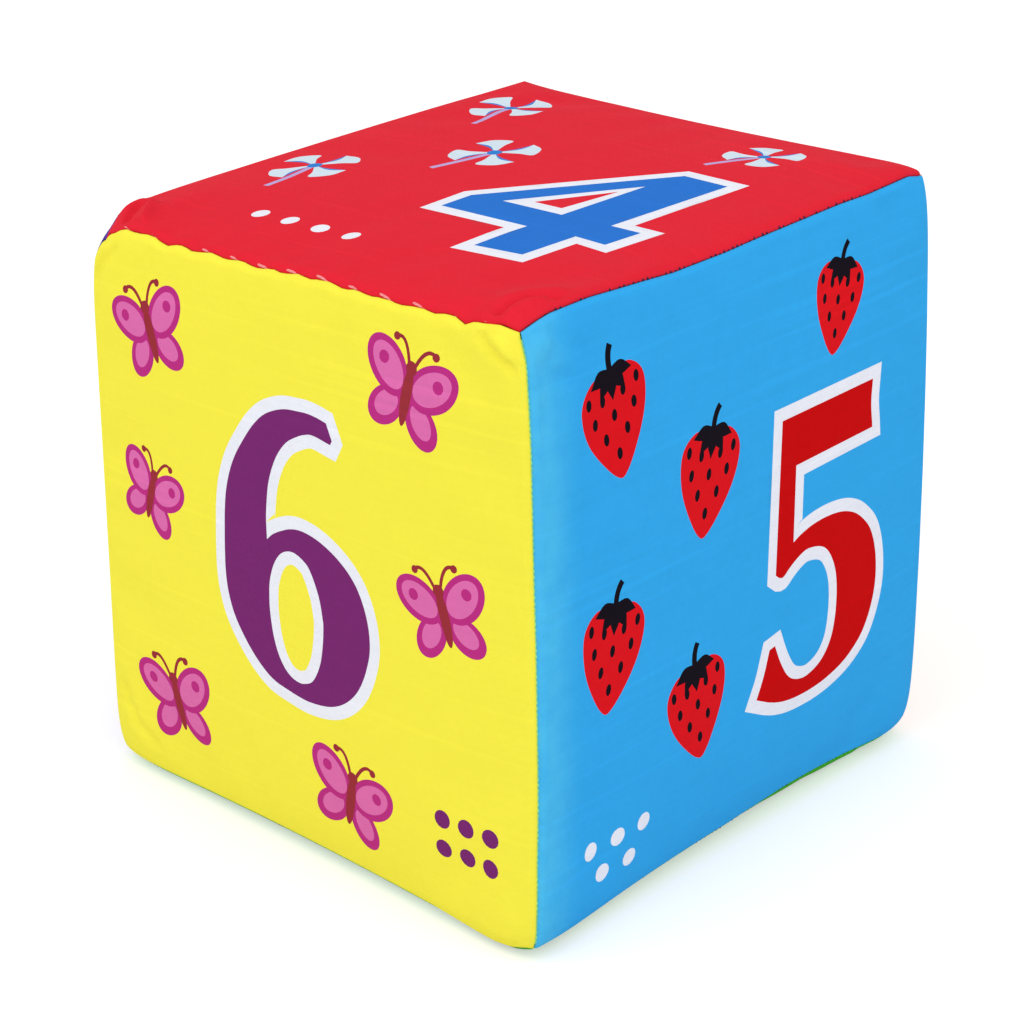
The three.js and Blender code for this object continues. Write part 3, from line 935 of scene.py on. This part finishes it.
def edge_path():
    """The cloth's way at its edge: over the fold, down the turned-in edge, round its cut and back up inside.
    Each station is how far it is in from the sharp edge, down from the face, and along the cloth."""
    path = []

    def over_fold(radius, share):
        angle = FOLD_TURN * share
        path.append((FOLD_INSET - radius * math.sin(angle), FOLD - radius * math.cos(angle), FOLD * angle))

    for k in range(1, FOLD_STEPS + 1):
        over_fold(FOLD, k / FOLD_STEPS)
    inset, drop, length = path[-1]
    down = SEAM_ALLOWANCE / math.sqrt(2)
    through = CLOTH / math.sqrt(2)
    path.append((inset + down, drop + down, length + SEAM_ALLOWANCE))
    path.append((inset + down + through, drop + down - through, length + SEAM_ALLOWANCE))
    for k in range(FOLD_STEPS, 0, -2):
        over_fold(FOLD_INSIDE, k / FOLD_STEPS)
    return path


def tucked(rim):
    """How much deeper in its seams the edge of the resting face lies, for each point of its rim."""
    apart = np.hypot(1 - rim[:, 0], 1 - rim[:, 1]) * FLAT_HALF
    return TUCK * np.exp(-((apart / TUCK_REACH) ** 2))


def linked(name, data):
    """An object of that data in the scene."""
    made = bpy.data.objects.new(name, data)
    bpy.context.scene.collection.objects.link(made)
    return made


def new_object(name, points, faces, materials, indices=None):
    """A mesh object at the origin from points in millimetres from the middle of the die."""
    mesh = bpy.data.meshes.new(name)
    world = (np.asarray(points) + (0, 0, CENTRE_HEIGHT)) * MM
    mesh.from_pydata(world.tolist(), [], [tuple(int(i) for i in face) for face in faces])
    for material in materials:
        mesh.materials.append(material)
    if indices is not None:
        mesh.polygons.foreach_set("material_index", np.asarray(indices, np.int32))
    mesh.polygons.foreach_set("use_smooth", np.ones(len(mesh.polygons), bool))
    mesh.update()
    return linked(name, mesh)


def panel(name):
    """One printed panel of the cover, with its turned-in edges."""
    ground, shapes = print_shapes(name)
    flat, triangles, colours = triangulated(shapes, CELLS)
    colours[colours == ""] = ground
    used = [ground] + sorted(set(colours) - {ground})
    points = [on_face(name, flat[:, 0], flat[:, 1], np.zeros(len(flat)))]
    cloth_places = [flat]
    faces = [tuple(t) for t in triangles]
    indices = [used.index(c) for c in colours]

    rim = square_rim(CELLS)
    order = {tuple(np.round(p, 3)): i for i, p in enumerate(flat)}
    ring = [order[tuple(np.round(p * FLAT_HALF, 3))] for p in rim]
    count = len(flat)
    tuck = tucked(rim) if name == RESTING_FACE else np.zeros(len(rim))
    for inset, drop, length in edge_path():
        place = rim * (SEAM_HALF - inset - tuck)[:, None]
        points.append(on_face(name, place[:, 0], place[:, 1], drop + tuck))
        cloth_places.append(rim * (FLAT_HALF + length))
        after = list(range(count, count + len(rim)))
        faces += band(ring, after)
        indices += [0] * len(rim)
        ring = after
        count += len(rim)

    grid = square_grid(stations(CELLS) * FLAT_HALF)
    points.append(under_face(name, grid[:, 0], grid[:, 1], CLOTH))
    cloth_places.append(grid)
    faces += band(ring, rim_numbers(CELLS, count))
    indices += [0] * len(rim)
    faces += [face[::-1] for face in grid_faces(CELLS, count)]
    indices += [len(used)] * CELLS**2

    materials = [printed_cloth(c) for c in used] + [unprinted_cloth()]
    made = new_object(f"cover_{name}", np.concatenate(points), faces, materials, indices)
    uv = made.data.uv_layers.new(name="cloth")
    corner_vertices = np.zeros(len(made.data.loops), np.int32)
    made.data.loops.foreach_get("vertex_index", corner_vertices)
    flat_places = np.concatenate(cloth_places) / UV_SIDE + 0.5
    uv.data.foreach_set("uv", flat_places[corner_vertices].astype(np.float32).ravel())
    return made


def foam_block():
    """The foam block: six swelled faces with a groove round each, for the turned-in edges of two panels."""
    wall = SEAM_GAP / 2 + CLOTH + FOAM_CLEARANCE
    depth = SEAM_ALLOWANCE + FOAM_CLEARANCE
    below = CLOTH + FOAM_CLEARANCE
    bottom = SEAM_INSET + (depth + wall) / math.sqrt(2)
    rim = square_rim(FOAM_CELLS)
    place = square_grid(stations(FOAM_CELLS)) * (SEAM_HALF - below - math.sqrt(2) * FOAM_MOUTH)
    points, faces, count = [], [], 0
    for name in NAMES:
        points.append(on_face(name, place[:, 0], place[:, 1], np.full(len(place), below)))
        faces += grid_faces(FOAM_CELLS, count)
        ring = rim_numbers(FOAM_CELLS, count)
        count += len(place)
        edge = rim * (SEAM_HALF - bottom)
        for drop in (bottom - math.sqrt(2) * wall, bottom):
            points.append(on_face(name, edge[:, 0], edge[:, 1], np.full(len(rim), drop), 0))
            after = list(range(count, count + len(rim)))
            faces += band(ring, after)
            ring = after
            count += len(rim)
    foam = new_object("foam_block", np.concatenate(points), faces, [foam_material()])
    weld(foam)
    return foam


def weld(made):
    """Merges the points of a mesh that lie together."""
    work = bmesh.new()
    work.from_mesh(made.data)
    bmesh.ops.remove_doubles(work, verts=work.verts, dist=WELD_REACH * MM)
    work.to_mesh(made.data)
    work.free()


# Materials


def add_node(tree, kind, inputs=None, **settings):
    """Adds a node with its settings. Inputs are values, sockets, or nodes, which give their first output."""
    node = tree.nodes.new(kind)
    for key, value in settings.items():
        setattr(node, key, value)
    for key, value in (inputs or {}).items():
        if isinstance(value, bpy.types.Node):
            value = value.outputs[0]
        if isinstance(value, bpy.types.NodeSocket):
            tree.links.new(value, node.inputs[key])
        else:
            node.inputs[key].default_value = value
    return node


def new_material(name):
    """A material and its empty tree, or None in the tree's place where the material is there already."""
    material = bpy.data.materials.get(name)
    if material:
        return material, None
    material = bpy.data.materials.new(name)
    material.use_nodes = True
    material.node_tree.nodes.clear()
    return material, material.node_tree


def end_material(tree, colour, height, strength, depth, finish):
    """Ends a material with its colour, a relief of that depth in millimetres, and its shader's finish."""
    bump = add_node(tree, "ShaderNodeBump", {"Height": height, "Strength": strength, "Distance": depth * MM})
    shader = add_node(tree, "ShaderNodeBsdfPrincipled", {"Base Color": colour, "Normal": bump, **finish})
    add_node(tree, "ShaderNodeOutputMaterial", {"Surface": shader})


def chosen(colour):
    """A colour of the scene's list, by its name there."""
    return tuple(getattr(bpy.context.scene.soft_die_colours, colour))


def cloth_material(name, colour, uneven_share=1, highlight_ink=None):
    """Brushed polyester, woven plain and printed by heat: matt with a soft bloom at grazing light."""
    material, tree = new_material(name)
    if tree is None:
        return material
    add = partial(add_node, tree)
    place = add("ShaderNodeUVMap", uv_map="cloth")
    split = add("ShaderNodeSeparateXYZ", {"Vector": place})

    # The real threads lie about 0.2 mm apart, too fine to show, so the weave is drawn coarser
    weave = bpy.context.scene.soft_die_sizes.weave / MM
    waves = []
    for axis in (0, 1):
        angle = {0: split.outputs[axis], 1: 2 * math.pi * UV_SIDE / weave}
        turn = add("ShaderNodeMath", angle, operation="MULTIPLY")
        waves.append(add("ShaderNodeMath", {0: turn}, operation="SINE"))
    patterns = {"weave": add("ShaderNodeMath", {0: waves[0], 1: waves[1]}, operation="MULTIPLY")}

    for key, (along, across, degrees, shift, detail, roughness) in CLOTH_NOISES.items():
        mapping = {
            "Vector": place,
            "Location": (*shift, 0),
            "Rotation": (0, 0, math.radians(degrees)),
            "Scale": (UV_SIDE / along, UV_SIDE / across, 1),
        }
        mapped = add("ShaderNodeMapping", mapping)
        noise = {"Vector": mapped, "Scale": 1, "Detail": detail, "Roughness": roughness}
        patterns[key] = add("ShaderNodeTexNoise", noise)

    # A few threads are so thick that the ink leaves them paler along their whole way
    low, high = THICK_THREAD_SHARES
    paler = {"Value": patterns["thick"], 1: low, 2: high, 3: 0, 4: THICK_THREAD_TONE}
    patterns["thick"] = add("ShaderNodeMapRange", paler)

    tone = CLOTH_TONE
    for key, share in TONE_SHARES.items():
        tone = add("ShaderNodeMath", {0: patterns[key], 1: share, 2: tone}, operation="MULTIPLY_ADD")
    evened = {0: tone, 1: uneven_share, 2: 1 - uneven_share}
    tone = add("ShaderNodeMath", evened, operation="MULTIPLY_ADD")
    ink = add("ShaderNodeHueSaturation", {"Value": tone, "Color": (*colour, 1)})
    # Painted highlight: beside the left neighbour the ink is mixed towards a paler one, broken up by the
    # mottle, where the rounded edge would catch the light
    if highlight_ink:
        strip = {"Value": split.outputs["X"], 1: HIGHLIGHT_START, 2: HIGHLIGHT_END, 3: EDGE_HIGHLIGHT_SHARE, 4: 0}
        near = add("ShaderNodeMapRange", strip, interpolation_type="SMOOTHSTEP")
        highlight_breakup = add("ShaderNodeMapRange", {"Value": patterns["mottle"], 1: 0.3, 2: 0.65, 3: 0.5, 4: 1})
        highlight_weight = add("ShaderNodeMath", {0: near, 1: highlight_breakup}, operation="MULTIPLY")
        inks = {0: highlight_weight, 6: ink, 7: (*linear(highlight_ink), 1)}
        ink = add("ShaderNodeMix", inks, data_type="RGBA").outputs[2]
    raised = {0: patterns["slub"], 1: SLUB_HEIGHT_SHARE, 2: patterns["weave"]}
    height = add("ShaderNodeMath", raised, operation="MULTIPLY_ADD")
    finish = {"Roughness": 0.85, "Specular IOR Level": 0.03, "Sheen Weight": 0.02, "Sheen Roughness": 0.4}
    end_material(tree, ink, height, 0.3, 0.03, finish)
    return material


def printed_cloth(colour):
    name = f"Printed polyester {colour}"
    return cloth_material(name, chosen(colour), UNEVEN_SHARES.get(colour, 1), EDGE_HIGHLIGHT_INKS.get(colour))


def unprinted_cloth():
    return cloth_material("Unprinted polyester reverse", chosen("reverse"))


def thread_material(dye, colour):
    """Spun polyester sewing thread: two plies twisted, with a soft gloss."""
    material, tree = new_material(f"Spun polyester thread {dye}")
    if tree is None:
        return material
    add = partial(add_node, tree)
    along = add("ShaderNodeAttribute", attribute_name="along").outputs["Fac"]
    around = add("ShaderNodeAttribute", attribute_name="around").outputs["Fac"]
    turns = add("ShaderNodeMath", {0: along, 1: 2 * math.pi / (PLY_TWIST * MM)}, operation="MULTIPLY")
    wound = {0: around, 1: 2 * math.pi * PLIES, 2: turns}
    phase = add("ShaderNodeMath", wound, operation="MULTIPLY_ADD")
    ply = add("ShaderNodeMath", {0: phase}, operation="SINE")
    tone = add("ShaderNodeMath", {0: ply, 1: 0.15, 2: 1}, operation="MULTIPLY_ADD")
    dyed = add("ShaderNodeHueSaturation", {"Value": tone, "Color": (*colour, 1)})
    finish = {"Roughness": 0.6, "Specular IOR Level": 0.15, "Sheen Weight": 0.05}
    end_material(tree, dyed, ply, 0.5, 0.05, finish)
    return material


def foam_material():
    """Open-cell polyurethane foam, cut from a block: cream, matt and full of small pores."""
    material, tree = new_material("Polyurethane foam")
    if tree is None:
        return material
    add = partial(add_node, tree)
    place = add("ShaderNodeTexCoord").outputs["Object"]
    pores = add("ShaderNodeTexVoronoi", {"Vector": place, "Scale": 1 / (PORE * MM)})
    tone = add("ShaderNodeMath", {0: pores, 1: 0.3, 2: 0.8}, operation="MULTIPLY_ADD")
    cream = add("ShaderNodeHueSaturation", {"Value": tone, "Color": (*chosen("foam"), 1)})
    end_material(tree, cream, pores, 0.6, 0.2, {"Roughness": 0.95})
    return material


def paper_material():
    """White paper sweep: matt, and lifted to white where the camera sees it."""
    material, tree = new_material("White paper sweep")
    seen = add_node(tree, "ShaderNodeLightPath").outputs["Is Camera Ray"]
    paper = add_node(tree, "ShaderNodeBsdfDiffuse", {"Color": (PAPER, PAPER, PAPER, 1)})
    glow = {"Color": (PAPER_LIFT, PAPER_LIFT, PAPER_LIFT, 1), "Strength": seen}
    lift = add_node(tree, "ShaderNodeEmission", glow)
    both = add_node(tree, "ShaderNodeAddShader", {0: paper, 1: lift})
    add_node(tree, "ShaderNodeOutputMaterial", {"Surface": both})
    return material


# Threads, made by Geometry Nodes along a seam


def thread_tree():
    """A round thread that winds through a seam. Its line carries the ways aside and out of the seam."""
    tree = bpy.data.node_groups.get("Thread through a seam")
    if tree:
        return tree
    tree = bpy.data.node_groups.new("Thread through a seam", "GeometryNodeTree")
    given_kinds = {
        "Geometry": ("Seam",),
        "Float": ("Pitch", "Reach", "Top", "Bottom", "Radius", "Uneven"),
        "Int": ("Steps", "Sides", "Seed"),
        "Material": ("Material",),
    }
    for kind, names in given_kinds.items():
        for name in names:
            tree.interface.new_socket(name=name, in_out="INPUT", socket_type=f"NodeSocket{kind}")
    tree.interface.new_socket(name="Thread", in_out="OUTPUT", socket_type="NodeSocketGeometry")
    add = partial(add_node, tree)
    given = add("NodeGroupInput").outputs

    line = add("GeometryNodeMeshToCurve", {"Mesh": given["Seam"]})
    step = add("ShaderNodeMath", {0: given["Pitch"], 1: given["Steps"]}, operation="DIVIDE")
    fine = add("GeometryNodeResampleCurve", {"Curve": line, "Length": step}, mode="LENGTH")
    at = add("GeometryNodeSplineParameter")
    length = at.outputs["Length"]
    stitches = add("ShaderNodeMath", {0: length, 1: given["Pitch"]}, operation="DIVIDE")
    angle = add("ShaderNodeMath", {0: stitches, 1: 2 * math.pi}, operation="MULTIPLY")

    # Each stitch reaches aside and rises by its own share of the usual way
    stitch = add("ShaderNodeMath", {0: stitches}, operation="FLOOR")
    least = add("ShaderNodeMath", {0: 1, 1: given["Uneven"]}, operation="SUBTRACT")
    draw = {2: least, 3: 1, "ID": stitch, "Seed": given["Seed"]}
    chance = add("FunctionNodeRandomValue", draw, data_type="FLOAT").outputs[1]
    swing = add("ShaderNodeMath", {0: angle}, operation="SINE")
    wide = add("ShaderNodeMath", {0: given["Reach"], 1: swing}, operation="MULTIPLY")
    aside = add("ShaderNodeMath", {0: wide, 1: chance}, operation="MULTIPLY")

    # It rises from the bottom to the top once in each stitch
    rise = add("ShaderNodeMath", {0: angle}, operation="COSINE")
    even = add("ShaderNodeMath", {0: rise, 1: -0.5, 2: 0.5}, operation="MULTIPLY_ADD")
    share = add("ShaderNodeMath", {0: even, 1: chance}, operation="MULTIPLY")
    height = add("ShaderNodeMath", {0: given["Top"], 1: given["Bottom"]}, operation="SUBTRACT")
    out = add("ShaderNodeMath", {0: height, 1: share, 2: given["Bottom"]}, operation="MULTIPLY_ADD")
    moved = []
    for attribute, amount in (("seam_aside", aside), ("seam_out", out)):
        way = add("GeometryNodeInputNamedAttribute", {"Name": attribute}, data_type="FLOAT_VECTOR")
        moved.append(add("ShaderNodeVectorMath", {"Vector": way, "Scale": amount}, operation="SCALE"))
    both = add("ShaderNodeVectorMath", {0: moved[0], 1: moved[1]}, operation="ADD")
    wound = add("GeometryNodeSetPosition", {"Geometry": fine, "Offset": both})

    # The tube keeps how far it is along and around the thread, for the twist of its plies
    outline = {"Resolution": given["Sides"], "Radius": given["Radius"]}
    circle = add("GeometryNodeCurvePrimitiveCircle", outline)
    kept = []
    for curve, name, value in ((wound, "along", length), (circle, "around", at.outputs["Factor"])):
        stored = {"Geometry": curve, "Name": name, "Value": value}
        kept.append(add("GeometryNodeStoreNamedAttribute", stored))
    tube = add("GeometryNodeCurveToMesh", {"Curve": kept[0], "Profile Curve": kept[1], "Fill Caps": True})
    shaded = add("GeometryNodeSetShadeSmooth", {"Geometry": tube})
    real = add("GeometryNodeRealizeInstances", {"Geometry": shaded})
    dyed = add("GeometryNodeSetMaterial", {"Geometry": real, "Material": given["Material"]})
    add("NodeGroupOutput", {"Thread": dyed})
    return tree


def seam_line(first, second, beside, end):
    """Points along or beside the seam of two faces, with the ways aside and out of it for one millimetre."""
    looks_a, looks_b = face_vectors(first)[0], face_vectors(second)[0]
    along = np.cross(looks_a, looks_b)
    run = np.linspace(-1, 1, SEAM_STEPS + 1) * (SEAM_REACH - end)

    def at(aside, out):
        reach = SEAM_REACH + out / math.sqrt(2)
        shift = aside / math.sqrt(2)
        return sewn(run[:, None] * along + (reach - shift) * looks_b + (reach + shift) * looks_a)

    return at(beside, 0), at(0.5, 0) - at(-0.5, 0), at(0, 0.5) - at(0, -0.5)


def thread(name, seam, kind, pitch, seed):
    """A thread object along the seam of two faces, stitched in one of the kinds of the list."""
    dye, colour, beside, end, lengths, others = STITCHES[kind]
    radius = bpy.context.scene.soft_die_sizes.thread / 2
    values = {key: length * MM for key, length in lengths.items()}
    values |= {"Pitch": pitch, "Radius": radius, "Seed": seed, **others}
    middle, aside, out = seam_line(*seam, beside, end)
    mesh = bpy.data.meshes.new(name)
    world = (middle + (0, 0, CENTRE_HEIGHT)) * MM
    mesh.from_pydata(world.tolist(), [(i, i + 1) for i in range(len(world) - 1)], [])
    for attribute, ways in (("seam_aside", aside), ("seam_out", out)):
        layer = mesh.attributes.new(attribute, "FLOAT_VECTOR", "POINT")
        layer.data.foreach_set("vector", ways.astype(np.float32).ravel())
    line = linked(name + "_line", mesh)
    tree = thread_tree()
    modifier = line.modifiers.new("Thread", "NODES")
    modifier.node_group = tree
    values["Material"] = thread_material(dye, chosen(colour))
    for item in tree.interface.items_tree:
        if item.in_out == "INPUT" and item.name in values:
            modifier[item.identifier] = values[item.name]
    graph = bpy.context.evaluated_depsgraph_get()
    result = bpy.data.meshes.new_from_object(line.evaluated_get(graph), depsgraph=graph)
    result.name = name
    bpy.data.objects.remove(line)
    return linked(name, result)


# Stage


def facing(azimuth, elevation, roll, distance, target):
    """The place of a camera or lamp that looks at the target from that side."""
    a, e, r = (math.radians(value) for value in (azimuth, elevation, roll))
    back = Vector((math.sin(a) * math.cos(e), -math.cos(a) * math.cos(e), math.sin(e)))
    right = Vector((math.cos(a), math.sin(a), 0))
    up = back.cross(right)
    rolled = right * math.cos(r) + up * math.sin(r)
    matrix = Matrix((rolled, back.cross(rolled), back)).transposed().to_4x4()
    matrix.translation = (Vector(target) + back * distance) * MM
    return matrix


def stage_camera():
    camera = bpy.data.cameras.new("Camera")
    camera.lens = CAMERA_LENS
    camera.sensor_width = CAMERA_SENSOR
    camera.clip_start = CAMERA_CLIP * MM
    seat = linked("Camera", camera)
    seat.matrix_world = facing(*CAMERA_DEGREES, CAMERA_DISTANCE, CAMERA_TARGET)
    bpy.context.scene.camera = seat


def stage_floor():
    reach = FLOOR_REACH * MM
    corners = [(x * reach, y * reach, 0) for x, y in ((-1, -1), (1, -1), (1, 1), (-1, 1))]
    mesh = bpy.data.meshes.new("floor")
    mesh.from_pydata(corners, [], [(0, 1, 2, 3)])
    mesh.materials.append(paper_material())
    floor = linked("floor", mesh)


def stage_lamps():
    for name, (power, side, azimuth, elevation, distance) in LAMPS.items():
        data = bpy.data.lights.new(name, "AREA")
        data.energy = power
        data.size = side * MM
        lamp = linked(name, data)
        lamp.matrix_world = facing(azimuth, elevation, 0, distance, LAMP_TARGET)


def stage_world():
    """Soft white light from all round, which the camera and glossy surfaces see as plain white."""
    world = bpy.data.worlds.new("Studio")
    world.use_nodes = True
    world.node_tree.nodes.clear()
    add = partial(add_node, world.node_tree)
    rays = add("ShaderNodeLightPath").outputs
    soft = add("ShaderNodeBackground", {"Color": (1, 1, 1, 1), "Strength": WORLD_LIGHT})
    white = add("ShaderNodeBackground", {"Color": (1, 1, 1, 1), "Strength": 1})
    direct = {0: rays["Is Camera Ray"], 1: rays["Is Glossy Ray"]}
    seen = add("ShaderNodeMath", direct, operation="MAXIMUM")
    mixed = add("ShaderNodeMixShader", {0: seen, 1: soft, 2: white})
    add("ShaderNodeOutputWorld", {"Surface": mixed})
    bpy.context.scene.world = world


# Operators


def seat_piece(made, node):
    """Lets a finished piece ride on the die's one body, in the place of its CAD node."""
    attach(made, "root")
    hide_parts(node)


class SOFTDIE_OT_stage(bpy.types.Operator):
    """Sets up the camera, the floor and the soft studio light"""

    bl_idname = "softdie.stage"
    bl_label = "Stage"

    def execute(self, context):
        context.scene.view_settings.view_transform = "Standard"
        stage_camera()
        stage_floor()
        stage_lamps()
        stage_world()
        return {"FINISHED"}


class SOFTDIE_OT_foam(bpy.types.Operator):
    """Makes the foam block that fills the cover"""

    bl_idname = "softdie.foam"
    bl_label = "Foam block"

    def execute(self, context):
        made = foam_block()
        seat_piece(made, "foam_core")
        return {"FINISHED"}


class SOFTDIE_OT_cover(bpy.types.Operator):
    """Makes the six printed cloth panels of the cover"""

    bl_idname = "softdie.cover"
    bl_label = "Cloth cover"

    def execute(self, context):
        for name in NAMES:
            made = panel(name)
            seat_piece(made, f"panel_{name}")
        return {"FINISHED"}


class SOFTDIE_OT_machine_seams(bpy.types.Operator):
    """Sews the eleven machine seams of the cover"""

    bl_idname = "softdie.machine_seams"
    bl_label = "Machine seams"

    def execute(self, context):
        pitch = context.scene.soft_die_sizes.machine_pitch
        for number, seam in enumerate(EDGES):
            if seam == CLOSED_BY_HAND:
                continue
            first, second = seam
            kind = "tight machine" if seam in TIGHT_SEAMS else "machine"
            made = thread(f"stitches_{first}_{second}", seam, kind, pitch, number)
            seat_piece(made, f"seam_thread_{first}_{second}")
        return {"FINISHED"}


class SOFTDIE_OT_closing_stitch(bpy.types.Operator):
    """Sews the last edge of the cover by hand"""

    bl_idname = "softdie.closing_stitch"
    bl_label = "Closing stitch"

    def execute(self, context):
        pitch = context.scene.soft_die_sizes.hand_pitch
        made = thread("hand_stitches_four_six", CLOSED_BY_HAND, "hand", pitch, CLOSING_SEED)
        seat_piece(made, "closing_stitch_four_six")
        return {"FINISHED"}


STEPS = (
    SOFTDIE_OT_stage,
    SOFTDIE_OT_foam,
    SOFTDIE_OT_cover,
    SOFTDIE_OT_machine_seams,
    SOFTDIE_OT_closing_stitch,
)


class SOFTDIE_PT_panel(bpy.types.Panel):
    """Lists the sizes and colours and the steps that make the die"""

    bl_idname = "SOFTDIE_PT_panel"
    bl_label = "Soft die"
    bl_space_type = "VIEW_3D"
    bl_region_type = "UI"
    bl_category = "Soft die"

    def draw(self, context):
        layout = self.layout
        for group in (context.scene.soft_die_sizes, context.scene.soft_die_colours):
            for key in group.__annotations__:
                layout.prop(group, key)
        for step in STEPS:
            layout.operator(step.bl_idname)


CLASSES = (SoftDieColours, SoftDieSizes, *STEPS, SOFTDIE_PT_panel)


def register():
    for made in CLASSES:
        bpy.utils.register_class(made)
    bpy.types.Scene.soft_die_colours = PointerProperty(type=SoftDieColours)
    bpy.types.Scene.soft_die_sizes = PointerProperty(type=SoftDieSizes)


def unregister():
    del bpy.types.Scene.soft_die_sizes
    del bpy.types.Scene.soft_die_colours
    for made in reversed(CLASSES):
        bpy.utils.unregister_class(made)


def main():
    register()
    for step in STEPS:
        group, name = step.bl_idname.split(".")
        getattr(getattr(bpy.ops, group), name)()


if __name__ == "__main__":
    main()
